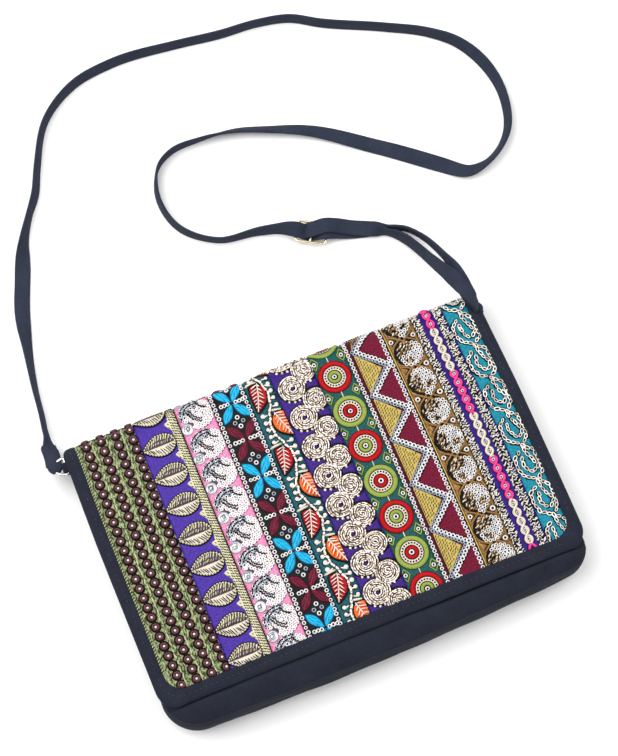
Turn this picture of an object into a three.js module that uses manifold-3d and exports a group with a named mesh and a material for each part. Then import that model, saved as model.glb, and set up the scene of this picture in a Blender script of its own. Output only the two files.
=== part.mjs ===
// A flap clutch bag lying on its back: a soft pouch of black cloth, a padded flap dressed with eleven
// embroidered trims, and a long adjustable strap laid out on the surface. Millimetres, +Z up, +Y towards
// the fold of the flap. The origin is the middle of the bag's outline, rings included, where it rests.
import * as THREE from 'three';
import { mergeVertices } from 'three/addons/utils/BufferGeometryUtils.js';
import Module from 'manifold-3d';

const wasm = await Module();
wasm.setup();

// Driving dimensions
const PIECE_GAP = 0.3;
const POUCH = {
  halfWidth: 132, bottom: -91.2, mouth: 80, cornerRadius: 17, wall: 2, bow: 3,
  rollDrop: 6, rollReach: 14, seamInset: 0.6, bottomBulge: 2.4, mouthPleat: -3.5,
};
const FLAP = {
  halfWidth: 137, freeEdge: -79, foldStart: 81, foldReach: 12.8, backSeam: 66, wall: 2.6,
  cornerRadius: 10, pouchGap: 0.8, cornerPull: 2.5, pullPower: 10,
};
const HEIGHT = {
  atFreeEdge: 38, atFold: 32, crown: 2.5, sideDrop: 3, dropPower: 4, dropFrom: 12.8, foldSquareness: 2.6,
};
// The closed flap lies a little askew over the pouch and is drawn in towards the fold.
const SWAY = { atFreeEdge: -0.3, atFold: -1.7, over: 150, drawn: 0.008, drawnFrom: 110, drawnTo: 165 };
const BINDING = { width: 9, rise: 0.8, innerCorner: 11 };
// Motifs that reach further than bendable from their middle end where the fold begins.
const TRIM = { halfWidth: 129.7, rise: 0.9, foldShare: 0.72, sink: 0.4, bendable: 4, endMargin: 1 };
const MOTIF = { taper: 0.82, leafPoint: 1.5, petalWaist: 0.45 };
// The left ring lies level and points away from the bag. The strap draws the right ring upright.
const RING = { barHalf: 5.2, reach: 7.4, wire: 1.1, sides: 8 };
const RINGS = {
  left: { side: -1, barX: 138.9, y: 87, z: 19, swing: 0, tabY: 85.7 },
  right: { side: 1, barX: 136.8, y: 84.5, z: 20, swing: 90, tabY: 84.5 },
};
const TAB = { width: 4.2, wall: 1.5, root: 132.35, rootShare: 0.6 };
const STRAP = { width: 10, thickness: 1.8, clearance: 0.1, wireClearance: 0.45, loopThickness: 1 };
const SLIDER = {
  length: 21, width: 15, wire: 0.8, sides: 6, corner: 2.5, heading: -16.5, x: 57.5, y: 178, z: 5.2,
};

// How far the flap's middle lies to the right of the middle of the outline.
const BAG_OFFSET = 3.85;

const CLOTH = { black: 0x24252f, strap: 0x2f3140 };
const METAL = { ring: 0xc9c9c6, slider: 0xd9c9a0 };

// Each trim from left to right: its width, ground colour and the raised motifs sewn along it.
// Motif columns: across is the centre from the trim's left edge, first the lowest centre along the flap
// from its free edge, and pitch repeats it.
const BEAD_RIB = { kind: 'rib', size: 2.4, rise: 1.0 };
const BRAID_RIB = { kind: 'rib', size: 2.2, rise: 0.6 };
const ROSETTE = { kind: 'round', pitch: 19.45, rise: 1.1, sides: 8 };
const TRIANGLE = { kind: 'triangle', pitch: 29.9, rise: 0.7 };
const CHAIN = { kind: 'leaf', turn: 90, rise: 0.6, sides: 6 };
const VINE_LEAF = { kind: 'leaf', pitch: 42.4, rise: 0.8, sides: 6 };
const TRIMS = [
  { name: 'trim_bead_brocade', width: 38.2, colour: 0x8a8f5c, motifs: [
    { ...BEAD_RIB, across: 6.0 }, { ...BEAD_RIB, across: 16.2 },
    { ...BEAD_RIB, across: 25.6 }, { ...BEAD_RIB, across: 34.8 }] },
  { name: 'trim_leaf_violet', width: 27.1, colour: 0x5a3da8, motifs: [
    { kind: 'leaf', across: 10.8, first: 32.8, pitch: 19.95, size: 20.8, girth: 14, rise: 1.1, sides: 8 },
  ] },
  { name: 'trim_disc_pink', width: 22.2, colour: 0xf09abf, motifs: [
    { kind: 'round', across: 12, first: 24.7, pitch: 19.85, size: 18.5, rise: 0.7, sides: 10 }] },
  { name: 'trim_flower_black', width: 23.1, colour: 0x1c1c24, motifs: [
    { kind: 'flower', across: 12.2, first: 36, pitch: 25.05, size: 23, rise: 0.8, sides: 12 }] },
  { name: 'trim_vine_teal', width: 17.2, colour: 0x1f6f78, motifs: [
    { ...VINE_LEAF, across: 6.6, first: 30.5, size: 17.5, girth: 9.5, turn: 75 },
    { ...VINE_LEAF, across: 12.2, first: 52, size: 16.5, girth: 8.6, turn: 105 }] },
  { name: 'trim_rosette_purple', width: 26.8, colour: 0x4a2a8c, motifs: [
    { ...ROSETTE, across: 8.5, first: 19.3, size: 16.4 },
    { ...ROSETTE, across: 18.8, first: 28, size: 15.4 }] },
  { name: 'trim_roundel_teal', width: 22.2, colour: 0x1f7a78, motifs: [
    { kind: 'round', across: 10.7, first: 33.8, pitch: 23.85, size: 20.4, rise: 0.9, sides: 10 }] },
  { name: 'trim_triangle_sequin', width: 27.0, colour: 0xd8d4c8, motifs: [
    { ...TRIANGLE, across: 11.2, first: 27.5, size: 13.7, girth: 25, turn: 0 },
    { ...TRIANGLE, across: 16.2, first: 42.5, size: 12.5, girth: 24, turn: 180 }] },
  { name: 'trim_cluster_tan', width: 19.3, colour: 0xa8804a, motifs: [
    { kind: 'round', across: 9.8, first: 31.5, pitch: 19.75, size: 17, rise: 1.0, sides: 8 }] },
  { name: 'trim_diamond_purple', width: 21.0, colour: 0x3c1f8c, motifs: [
    { ...BRAID_RIB, across: 2.9 }, { ...BRAID_RIB, across: 17.6 },
    { ...CHAIN, across: 10.8, first: 29.5, pitch: 29.4, size: 27, girth: 5.6 }] },
  { name: 'trim_scroll_turquoise', width: 15.3, colour: 0x18a0b0, motifs: [
    { kind: 'round', across: 7.7, first: 34, pitch: 24.1, size: 13.4, rise: 0.7, sides: 8 }] },
];

// The strap's route, chosen by hand and joined by a smooth curve. Columns: x and y of the band's middle,
// lift of its lower edge above the surface, and roll, the angle of its width to the surface in degrees:
// 0 lies flat, 90 stands on edge.
const STRAP_ROUTE = [
  [-146.6, 91.0, 20.8, 0], [-146.2, 97.4, 17.6, 6], [-144.6, 113.0, 5.4, 42], [-138.3, 143.0, 0, 46],
  [-128.6, 195.0, 0, 6], [-122.0, 216.0, 0, 2], [-112.0, 239.0, 0, 50], [-104.6, 252.4, 0, 82],
  [-88.6, 280.5, 0, 56], [-71.0, 310.5, 0, 58], [-44.9, 326.0, 0, 56], [-21.3, 330.0, 0, 50],
  [27.1, 327.4, 0, 53], [79.8, 319.6, 0, 55], [155.3, 287.2, 0, 52], [180.8, 272.4, 0, 40],
  [203.8, 247.0, 0, 36], [209.2, 215.0, 0, 56], [199.7, 190.5, 0, 66], [180.2, 175.4, 0, 56],
  [156.1, 184.7, 0, 14], [119.1, 214.4, 0, 10], [80.5, 241.0, 0, 60], [39.2, 256.0, 0, 84],
  [-5.2, 257.0, 0, 82], [-22.4, 238.2, 0, 82], [-18.1, 210.7, 0, 80], [2.4, 192.6, 0, 76],
  [29.0, 186.8, 0.6, 34], [47.6, 180.9, 6.5, 2], [57.5, 178.0, 1.8, 0], [67.4, 175.1, 6.4, 0],
  [76.4, 171.8, 2.8, 4], [88.0, 167.0, 0.6, 6], [102.0, 162.4, 0, 36], [115.6, 157.2, 1.0, 50],
  [128.9, 131.0, 10.0, 36], [131.9, 110.0, 23.5, 16], [133.8, 97.0, 29.8, 2], [136.6, 86.4, 30.5, 0],
];
// The doubled end that comes back from the right ring to the slider, lying above and inside the first run.
const RETURN_ROUTE = [
  [135.4, 89.6, 33.1, 0], [131.6, 101.0, 31.6, -6], [126.4, 115.4, 22.0, -24], [121.8, 130.0, 11.8, -38],
  [110.8, 147.6, 4.2, -46], [99.2, 157.6, 2.6, -32], [88.0, 166.2, 3.4, -6], [76.8, 171.4, 5.6, 0],
  [67.3, 175.0, 8.8, 0], [60.4, 177.2, 6.0, 0],
];

// Surface of the flap
// The flap's outer face runs from its free edge up the front, round the fold and along the surface to the
// seam with the back panel. Each sample keeps the distance along that run.
function frontHeight(y) {
  const share = THREE.MathUtils.clamp((y - FLAP.freeEdge) / (FLAP.foldStart - FLAP.freeEdge), 0, 1);
  const slope = THREE.MathUtils.lerp(HEIGHT.atFreeEdge, HEIGHT.atFold, share);
  return slope + HEIGHT.crown * Math.sin(Math.PI * share);
}

function flapRun() {
  const samples = [];
  const frontSteps = 40;
  const foldSteps = 32;
  const half = HEIGHT.atFold / 2;
  const power = 2 / HEIGHT.foldSquareness;
  for (let i = 0; i < frontSteps; i += 1) {
    const y = THREE.MathUtils.lerp(FLAP.freeEdge, FLAP.foldStart, i / frontSteps);
    samples.push({ y, z: frontHeight(y) });
  }
  for (let i = 0; i <= foldSteps; i += 1) {
    const angle = Math.PI * (0.5 - i / foldSteps);
    const reach = Math.abs(Math.cos(angle)) ** power;
    const rise = Math.sign(Math.sin(angle)) * Math.abs(Math.sin(angle)) ** power;
    samples.push({ y: FLAP.foldStart + FLAP.foldReach * reach, z: half * (1 + rise) });
  }
  samples.push({ y: FLAP.backSeam, z: 0 });
  samples[0].s = 0;
  for (let i = 1; i < samples.length; i += 1) {
    const step = Math.hypot(samples[i].y - samples[i - 1].y, samples[i].z - samples[i - 1].z);
    samples[i].s = samples[i - 1].s + step;
  }
  const foldFrom = samples[frontSteps].s;
  const foldTo = samples[frontSteps + foldSteps].s;
  return { samples, foldFrom, foldTo, end: samples[samples.length - 1].s };
}
const RUN = flapRun();

function runAt(s) {
  const { samples } = RUN;
  let i = 1;
  while (i < samples.length - 1 && samples[i].s < s) {
    i += 1;
  }
  const a = samples[i - 1];
  const b = samples[i];
  const share = (s - a.s) / (b.s - a.s);
  const along = { y: (b.y - a.y) / (b.s - a.s), z: (b.z - a.z) / (b.s - a.s) };
  return {
    y: THREE.MathUtils.lerp(a.y, b.y, share), z: THREE.MathUtils.lerp(a.z, b.z, share),
    normalY: -along.z, normalZ: along.y,
  };
}

// Where the askew flap has a point that is at x when it lies straight.
function swayed(x, s) {
  const askew = THREE.MathUtils.lerp(SWAY.atFreeEdge, SWAY.atFold, Math.min(s / SWAY.over, 1));
  const share = (s - SWAY.drawnFrom) / (SWAY.drawnTo - SWAY.drawnFrom);
  return x * (1 - SWAY.drawn * THREE.MathUtils.clamp(share, 0, 1)) + askew;
}

// A point of the dressed flap: x across, s along the run, lift out of the cloth's face. The sides fall
// away a little and the ends of the fold are rounded off.
function onFlap(x, s, lift) {
  const base = runAt(s);
  const edge = Math.abs(x) / FLAP.halfWidth;
  const upper = THREE.MathUtils.smoothstep(base.z, HEIGHT.dropFrom, HEIGHT.atFold);
  const bulge = THREE.MathUtils.clamp((base.y - FLAP.foldStart) / FLAP.foldReach, 0, 1);
  return new THREE.Vector3(
    swayed(x, s),
    base.y + base.normalY * lift - FLAP.cornerPull * edge ** FLAP.pullPower * bulge,
    base.z + base.normalZ * lift - HEIGHT.sideDrop * edge ** HEIGHT.dropPower * upper,
  );
}

// How far a rounded lower corner lifts the edge at x.
function cornerRise(x, halfWidth, radius) {
  const into = Math.abs(x) - (halfWidth - radius);
  if (into <= 0) {
    return 0;
  }
  return radius - Math.sqrt(Math.max(radius * radius - into * into, 0));
}

// Stations across a panel, closer together round its lower corners.
function stationsAcross(halfWidth, radius, innerSteps) {
  const cornerSteps = 4;
  const right = [];
  for (let i = 0; i <= cornerSteps; i += 1) {
    right.push(halfWidth - radius + radius * Math.sin((Math.PI / 2) * (i / cornerSteps)));
  }
  const inner = [];
  for (let i = 1; i < innerSteps; i += 1) {
    inner.push(THREE.MathUtils.lerp(-(halfWidth - radius), halfWidth - radius, i / innerSteps));
  }
  return [...right.map((x) => -x).reverse(), ...inner, ...right];
}

// Stations along the flap's run between two distances: few on the front, many round the fold.
function stationsAlong(from, to) {
  const frontSteps = 4;
  const foldSteps = 9;
  const all = [];
  for (let i = 1; i <= frontSteps; i += 1) {
    all.push((RUN.foldFrom * i) / frontSteps);
  }
  for (let i = 1; i <= foldSteps; i += 1) {
    all.push(THREE.MathUtils.lerp(RUN.foldFrom, RUN.foldTo, i / foldSteps));
  }
  const margin = 1;
  return [from, ...all.filter((s) => s > from + margin && s < to - margin), to];
}

// Solids
// A closed solid from points and triangles, turned so that its faces point out.
function solid(points, triangles) {
  let volume = 0;
  for (const [a, b, c] of triangles) {
    volume += points[a].dot(points[b].clone().cross(points[c]));
  }
  const geometry = new THREE.BufferGeometry().setFromPoints(points);
  geometry.setIndex(triangles.flatMap(([a, b, c]) => (volume > 0 ? [a, b, c] : [a, c, b])));
  return geometry;
}

// A curved sheet of columns by rows, with one face from outer(i, j) and the other from inner(i, j).
function sheetSolid(columns, rows, outer, inner) {
  const points = [];
  for (const face of [outer, inner]) {
    for (let i = 0; i < columns; i += 1) {
      for (let j = 0; j < rows; j += 1) {
        points.push(face(i, j));
      }
    }
  }
  const at = (i, j) => i * rows + j;
  const under = columns * rows;
  const triangles = [];
  const quad = (a, b, c, d) => triangles.push([a, b, c], [a, c, d]);
  for (let i = 0; i < columns - 1; i += 1) {
    for (let j = 0; j < rows - 1; j += 1) {
      const corners = [at(i, j), at(i + 1, j), at(i + 1, j + 1), at(i, j + 1)];
      quad(...corners);
      quad(...corners.map((k) => k + under).reverse());
    }
  }
  const rim = [];
  for (let i = 0; i < columns - 1; i += 1) {
    rim.push(at(i, 0));
  }
  for (let j = 0; j < rows - 1; j += 1) {
    rim.push(at(columns - 1, j));
  }
  for (let i = columns - 1; i > 0; i -= 1) {
    rim.push(at(i, rows - 1));
  }
  for (let j = rows - 1; j > 0; j -= 1) {
    rim.push(at(0, j));
  }
  rim.forEach((a, k) => {
    const b = rim[(k + 1) % rim.length];
    quad(b, a, a + under, b + under);
  });
  return solid(points, triangles);
}

// A sheet lying on the flap between two lifts, over stations across and along. firstRow gives the lower
// edge at each x, so that lower corners can be round.
function sheetOnFlap(across, along, firstRow, low, high) {
  const rowAt = (i, j) => (j === 0 ? firstRow(across[i]) : along[j]);
  return sheetSolid(
    across.length, along.length,
    (i, j) => onFlap(across[i], rowAt(i, j), high),
    (i, j) => onFlap(across[i], rowAt(i, j), low),
  );
}

// A band or wire: one section repeated along stations that hold a point and two directions across.
function sweep(stations, section, closed) {
  const points = [];
  for (const { point, side, up } of stations) {
    for (const [a, b] of section) {
      points.push(point.clone().addScaledVector(side, a).addScaledVector(up, b));
    }
  }
  const count = section.length;
  const triangles = [];
  const spans = closed ? stations.length : stations.length - 1;
  for (let i = 0; i < spans; i += 1) {
    const next = ((i + 1) % stations.length) * count;
    for (let k = 0; k < count; k += 1) {
      const m = (k + 1) % count;
      const here = i * count;
      triangles.push([here + k, here + m, next + m], [here + k, next + m, next + k]);
    }
  }
  if (!closed) {
    const last = (stations.length - 1) * count;
    for (let k = 1; k < count - 1; k += 1) {
      triangles.push([0, k + 1, k], [last, last + k, last + k + 1]);
    }
  }
  return solid(points, triangles);
}

function roundSection(radius, sides) {
  const section = [];
  for (let k = 0; k < sides; k += 1) {
    const angle = (2 * Math.PI * (k + 0.5)) / sides;
    section.push([radius * Math.cos(angle), radius * Math.sin(angle)]);
  }
  return section;
}

// Stations of a flat wire path in the plane z = 0.
function flatStations(path, closed) {
  const up = new THREE.Vector3(0, 0, 1);
  return path.map((point, i) => {
    const before = path[closed ? (i + path.length - 1) % path.length : Math.max(i - 1, 0)];
    const after = path[closed ? (i + 1) % path.length : Math.min(i + 1, path.length - 1)];
    const along = after.clone().sub(before).normalize();
    return { point, side: up.clone().cross(along), up };
  });
}

function toManifold(geometry) {
  const bare = geometry.clone();
  bare.deleteAttribute('normal');
  bare.deleteAttribute('uv');
  const merged = mergeVertices(bare, 1e-4);
  return new wasm.Manifold(new wasm.Mesh({
    numProp: 3,
    vertProperties: new Float32Array(merged.attributes.position.array),
    triVerts: new Uint32Array(merged.index.array),
  }));
}

function fromManifold(body) {
  const mesh = body.getMesh();
  const geometry = new THREE.BufferGeometry();
  geometry.setAttribute('position', new THREE.BufferAttribute(new Float32Array(mesh.vertProperties), 3));
  geometry.setIndex(new THREE.BufferAttribute(new Uint32Array(mesh.triVerts), 1));
  return geometry;
}

const fuse = (first, others) => fromManifold(
  others.reduce((body, other) => body.add(toManifold(other)), toManifold(first)),
);
const cut = (body, tool) => fromManifold(toManifold(body).subtract(toManifold(tool)));

const clutchBag = new THREE.Group();
function addPiece(name, geometry, color, roughness, metalness = 0) {
  const material = new THREE.MeshStandardMaterial({ color, roughness, metalness });
  const mesh = new THREE.Mesh(geometry, material);
  mesh.name = name;
  clutchBag.add(mesh);
  return mesh;
}

// Pouch
// Lower edge of the pouch's panels at x: a slow outward bow between round corners.
function bowedBottom(x) {
  return POUCH.bottom - POUCH.bow * (1 - (x / POUCH.halfWidth) ** 2);
}

function pouchEdge(x) {
  return bowedBottom(x) + cornerRise(x, POUCH.halfWidth, POUCH.cornerRadius);
}

// Distance from a point of a panel in to its outline, measured to the sides, the bottom and the corners.
function edgeDistance(x, y) {
  const toSide = POUCH.halfWidth - Math.abs(x);
  const toBottom = y - bowedBottom(x);
  const { cornerRadius } = POUCH;
  if (toSide < cornerRadius && toBottom < cornerRadius) {
    return Math.max(cornerRadius - Math.hypot(cornerRadius - toSide, cornerRadius - toBottom), 0);
  }
  return Math.min(toSide, toBottom);
}

// Height of the front panel's outer face: it lies under the flap and rolls down at its sewn edges.
function frontPanelHeight(x, y) {
  const inward = Math.min(edgeDistance(x, y) / POUCH.rollReach, 1);
  const roll = POUCH.rollDrop * (1 - inward) ** 2;
  const side = HEIGHT.sideDrop * (Math.abs(x) / FLAP.halfWidth) ** HEIGHT.dropPower;
  return frontHeight(y) - FLAP.wall - FLAP.pouchGap - side - roll;
}

function backPanel() {
  const outline = new THREE.Shape();
  const across = stationsAcross(POUCH.halfWidth, POUCH.cornerRadius, 8);
  const top = FLAP.backSeam - PIECE_GAP;
  outline.moveTo(-POUCH.halfWidth, top);
  across.forEach((x) => outline.lineTo(x, pouchEdge(x)));
  outline.lineTo(POUCH.halfWidth, top);
  outline.closePath();
  return new THREE.ExtrudeGeometry(outline, { depth: FLAP.wall, bevelEnabled: false });
}

function frontPanel() {
  const across = stationsAcross(POUCH.halfWidth, POUCH.cornerRadius, 8);
  const rollRows = [0, 3.5, 7, 10.5, 14];
  const upperRows = 6;
  const rowCount = rollRows.length + upperRows;
  const rowAt = (x, j) => {
    const edge = pouchEdge(x);
    if (j < rollRows.length) {
      return edge + rollRows[j];
    }
    const from = edge + POUCH.rollReach;
    return THREE.MathUtils.lerp(from, POUCH.mouth, (j - rollRows.length + 1) / upperRows);
  };
  const faceAt = (depth) => (i, j) => {
    const x = across[i];
    const y = rowAt(x, j);
    return new THREE.Vector3(x, y, frontPanelHeight(x, y) - depth);
  };
  return sheetSolid(across.length, rowCount, faceAt(0), faceAt(POUCH.wall));
}

// The gusset stands between the two panels down one side, along the bottom and up the other side. It
// swells at the bottom and folds in towards the mouth.
function gusset() {
  const inset = POUCH.halfWidth - POUCH.seamInset;
  const sideSteps = 5;
  const path = [];
  const cornerTop = POUCH.bottom + POUCH.cornerRadius;
  for (let i = 0; i < sideSteps; i += 1) {
    path.push([-inset, THREE.MathUtils.lerp(POUCH.mouth, cornerTop, i / sideSteps)]);
  }
  for (const x of stationsAcross(POUCH.halfWidth, POUCH.cornerRadius, 8)) {
    path.push([x * (inset / POUCH.halfWidth), pouchEdge(x) + POUCH.seamInset]);
  }
  for (let i = sideSteps - 1; i >= 0; i -= 1) {
    path.push([inset, THREE.MathUtils.lerp(POUCH.mouth, cornerTop, i / sideSteps)]);
  }
  const outward = path.map((_, i) => {
    const [ax, ay] = path[Math.max(i - 1, 0)];
    const [bx, by] = path[Math.min(i + 1, path.length - 1)];
    const length = Math.hypot(bx - ax, by - ay);
    return [(by - ay) / length, -(bx - ax) / length];
  });
  const rows = 6;
  const low = FLAP.wall + PIECE_GAP;
  const seatGap = 2 * PIECE_GAP;
  const faceAt = (depth) => (i, j) => {
    const [x, y] = path[i];
    const share = j / (rows - 1);
    const towardsMouth = THREE.MathUtils.clamp((y - POUCH.bottom) / (POUCH.mouth - POUCH.bottom), 0, 1);
    const swell = THREE.MathUtils.lerp(POUCH.bottomBulge, POUCH.mouthPleat, towardsMouth);
    const out = swell * Math.sin(Math.PI * share) - depth;
    const high = frontPanelHeight(x, y) - POUCH.wall - seatGap;
    return new THREE.Vector3(
      x + outward[i][0] * out, y + outward[i][1] * out, THREE.MathUtils.lerp(low, high, share),
    );
  };
  return sheetSolid(path.length, rows, faceAt(0), faceAt(POUCH.wall));
}

addPiece('back_panel', backPanel(), CLOTH.black, 0.85);
addPiece('front_panel', frontPanel(), CLOTH.black, 0.85);
addPiece('gusset', gusset(), CLOTH.black, 0.85);

// Flap
const FLAP_ACROSS = stationsAcross(FLAP.halfWidth, FLAP.cornerRadius, 6);
const flapEdge = (x) => cornerRise(x, FLAP.halfWidth, FLAP.cornerRadius);
const flapSheet = sheetOnFlap(FLAP_ACROSS, stationsAlong(0, RUN.end), flapEdge, -FLAP.wall, 0);
addPiece('flap', flapSheet, CLOTH.black, 0.85);

// The trims stop part of the way round the fold, and the binding frames them on three sides.
const TRIM_FROM = BINDING.width;
const TRIM_TO = THREE.MathUtils.lerp(RUN.foldFrom, RUN.foldTo, TRIM.foldShare);
const trimEdge = (x) => TRIM_FROM + cornerRise(x, TRIM.halfWidth, BINDING.innerCorner);

function flapBinding() {
  const along = stationsAlong(0, TRIM_TO);
  const frame = sheetOnFlap(FLAP_ACROSS, along, flapEdge, PIECE_GAP, PIECE_GAP + BINDING.rise);
  const clear = PIECE_GAP;
  const inner = stationsAcross(TRIM.halfWidth + clear, BINDING.innerCorner + clear, 8);
  const innerEdge = (x) => TRIM_FROM - clear
    + cornerRise(x, TRIM.halfWidth + clear, BINDING.innerCorner + clear);
  const over = 4;
  const past = stationsAlong(TRIM_FROM - clear, RUN.foldTo);
  return cut(frame, sheetOnFlap(inner, past, innerEdge, -over, over));
}
addPiece('flap_binding', flapBinding(), CLOTH.black, 0.8);

// A low raised form on a trim: an outline in the trim's own plane, closed over a middle point.
function raised(outline, middle, top) {
  const low = PIECE_GAP + TRIM.rise - TRIM.sink;
  const points = outline.map(([x, s]) => onFlap(x, s, low));
  for (const [x, s] of outline) {
    const nearX = THREE.MathUtils.lerp(middle[0], x, MOTIF.taper);
    const nearS = THREE.MathUtils.lerp(middle[1], s, MOTIF.taper);
    points.push(onFlap(nearX, nearS, top));
  }
  points.push(onFlap(middle[0], middle[1], low), onFlap(middle[0], middle[1], top));
  const count = outline.length;
  const triangles = [];
  for (let k = 0; k < count; k += 1) {
    const m = (k + 1) % count;
    triangles.push([k, m, count + m], [k, count + m, count + k]);
    triangles.push([m, k, 2 * count], [count + k, count + m, 2 * count + 1]);
  }
  return solid(points, triangles);
}

// Outlines of the motifs, about the origin.
const OUTLINES = {
  round: ({ size, sides }) => roundSection(size / 2, sides),
  leaf: ({ size, girth, sides }) => roundSection(1, sides).map(([a, b]) => [
    (a * size) / 2, Math.sign(b) * Math.abs(b) ** MOTIF.leafPoint * (girth / 2),
  ]),
  flower: ({ size, sides }) => roundSection(1, sides).map(([a, b]) => {
    const angle = Math.atan2(b, a);
    const petal = THREE.MathUtils.lerp(MOTIF.petalWaist, 1, Math.sin(2 * angle) ** 2);
    return [(a * petal * size) / 2, (b * petal * size) / 2];
  }),
  triangle: ({ size, girth }) => [[-size / 2, -girth / 2], [size / 2, 0], [-size / 2, girth / 2]],
};

function motifSolids(trim, left) {
  const solids = [];
  const top = (rise) => PIECE_GAP + TRIM.rise + rise;
  for (const motif of trim.motifs) {
    if (motif.kind === 'rib') {
      const middle = left + motif.across;
      const along = stationsAlong(TRIM_FROM + BINDING.innerCorner, TRIM_TO - TRIM.endMargin);
      const shape = [[-1, 0], [0, 1], [1, 0]];
      const low = PIECE_GAP + TRIM.rise - TRIM.sink;
      solids.push(sheetSolid(
        shape.length, along.length,
        (i, j) => onFlap(middle + shape[i][0] * motif.size, along[j],
          top(motif.rise * shape[i][1] - (1 - shape[i][1]) * TRIM.sink / 2)),
        (i, j) => onFlap(middle + shape[i][0] * motif.size, along[j], low),
      ));
      continue;
    }
    const turn = THREE.MathUtils.degToRad(motif.turn ?? 0);
    const outline = OUTLINES[motif.kind](motif);
    const reach = Math.max(...outline.map(([a, b]) => Math.abs(a * Math.sin(turn) + b * Math.cos(turn))));
    const limit = reach > TRIM.bendable ? RUN.foldFrom + TRIM.bendable : TRIM_TO - TRIM.endMargin;
    for (let s = motif.first; s + reach < limit; s += motif.pitch) {
      const middle = [left + motif.across, s];
      solids.push(raised(outline.map(([a, b]) => [
        middle[0] + a * Math.cos(turn) - b * Math.sin(turn),
        middle[1] + a * Math.sin(turn) + b * Math.cos(turn),
      ]), middle, top(motif.rise)));
    }
  }
  return solids;
}

let trimLeft = -TRIM.halfWidth;
for (const trim of TRIMS) {
  const from = trimLeft + PIECE_GAP / 2;
  const to = trimLeft + trim.width - PIECE_GAP / 2;
  const corners = stationsAcross(TRIM.halfWidth, BINDING.innerCorner, 2);
  const across = [from, ...corners.filter((x) => x > from + PIECE_GAP && x < to - PIECE_GAP), to];
  const along = stationsAlong(TRIM_FROM, TRIM_TO);
  const base = sheetOnFlap(across, along, trimEdge, PIECE_GAP, PIECE_GAP + TRIM.rise);
  addPiece(trim.name, fuse(base, motifSolids(trim, trimLeft)), trim.colour, 0.6);
  trimLeft += trim.width;
}

// Rings and their tabs
// A D ring hangs at each end of the fold, its straight bar in a loop of cloth. The path lies level with the
// bar on the Y axis.
function ringPath() {
  const path = [];
  const arcSteps = 12;
  for (let i = 0; i <= arcSteps; i += 1) {
    const angle = -Math.PI / 2 + (Math.PI * i) / arcSteps;
    path.push(new THREE.Vector3(RING.reach * Math.cos(angle), RING.barHalf * Math.sin(angle), 0));
  }
  return path;
}

function ringTab(barX) {
  const outline = new THREE.Shape();
  const bore = RING.wire + PIECE_GAP;
  const loop = bore + TAB.wall;
  const root = TAB.root - barX;
  outline.moveTo(root, -loop * TAB.rootShare);
  outline.lineTo(0, -loop);
  outline.absarc(0, 0, loop, -Math.PI / 2, Math.PI / 2, false);
  outline.lineTo(root, loop * TAB.rootShare);
  outline.closePath();
  const hole = new THREE.Path();
  hole.absarc(0, 0, bore, 0, 2 * Math.PI, true);
  outline.holes.push(hole);
  const extent = { depth: TAB.width, bevelEnabled: false, curveSegments: 8 };
  const geometry = new THREE.ExtrudeGeometry(outline, extent);
  geometry.translate(0, 0, -TAB.width / 2);
  geometry.rotateX(Math.PI / 2);
  return geometry;
}

// The strap's end is folded round the ring's arc and sewn: a thick sleeve on the wire.
function strapLoop() {
  const sleeveFrom = 4;
  const sleeveTo = 8;
  const arc = flatStations(ringPath().slice(sleeveFrom, sleeveTo + 1), false);
  const longer = flatStations(ringPath().slice(sleeveFrom - 1, sleeveTo + 2), false);
  const bore = RING.wire + STRAP.wireClearance;
  const sleeve = roundSection(bore + STRAP.loopThickness, RING.sides);
  return cut(sweep(arc, sleeve, false), sweep(longer, roundSection(bore, RING.sides), false));
}

// Swings a level piece up about the ring's bar and turns it to the bag's left or right end.
function atRing(geometry, { side, swing }) {
  geometry.rotateY(-THREE.MathUtils.degToRad(swing));
  if (side < 0) {
    geometry.rotateZ(Math.PI);
  }
  return geometry;
}

for (const [word, ring] of Object.entries(RINGS)) {
  const wire = roundSection(RING.wire, RING.sides);
  const barX = ring.side * ring.barX;
  const ringWire = atRing(sweep(flatStations(ringPath(), true), wire, true), ring);
  addPiece(`ring_${word}`, ringWire, METAL.ring, 0.25, 1).position.set(barX, ring.y, ring.z);
  const tab = atRing(ringTab(ring.barX), { side: ring.side, swing: 0 });
  addPiece(`ring_tab_${word}`, tab, CLOTH.black, 0.85).position.set(barX, ring.tabY, ring.z);
  const loop = atRing(strapLoop(), ring);
  addPiece(`strap_loop_${word}`, loop, CLOTH.strap, 0.85).position.set(barX, ring.y, ring.z);
}

// Strap
// Rows of a route on one smooth curve through its points, with stepsPerSpan rows from point to point.
function smoothRows(route, stepsPerSpan) {
  const last = route.length - 1;
  const spans = route.slice(1).map((row, i) => Math.hypot(row[0] - route[i][0], row[1] - route[i][1]));
  const slopes = route.map((row, i) => row.map((value, column) => {
    const before = i > 0 ? (value - route[i - 1][column]) / spans[i - 1] : 0;
    const after = i < last ? (route[i + 1][column] - value) / spans[i] : 0;
    if (i === 0) {
      return after;
    }
    if (i === last) {
      return before;
    }
    return (before * spans[i] + after * spans[i - 1]) / (spans[i - 1] + spans[i]);
  }));
  const rows = [];
  for (let i = 0; i < last; i += 1) {
    for (let k = 0; k < stepsPerSpan; k += 1) {
      const t = k / stepsPerSpan;
      const ease = t * t * (3 - 2 * t);
      rows.push(route[i].map((from, column) => {
        const bend = slopes[i][column] * (1 - t) - slopes[i + 1][column] * t;
        return THREE.MathUtils.lerp(from, route[i + 1][column], ease) + spans[i] * t * (1 - t) * bend;
      }));
    }
  }
  rows.push(route[last]);
  return rows;
}

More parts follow.
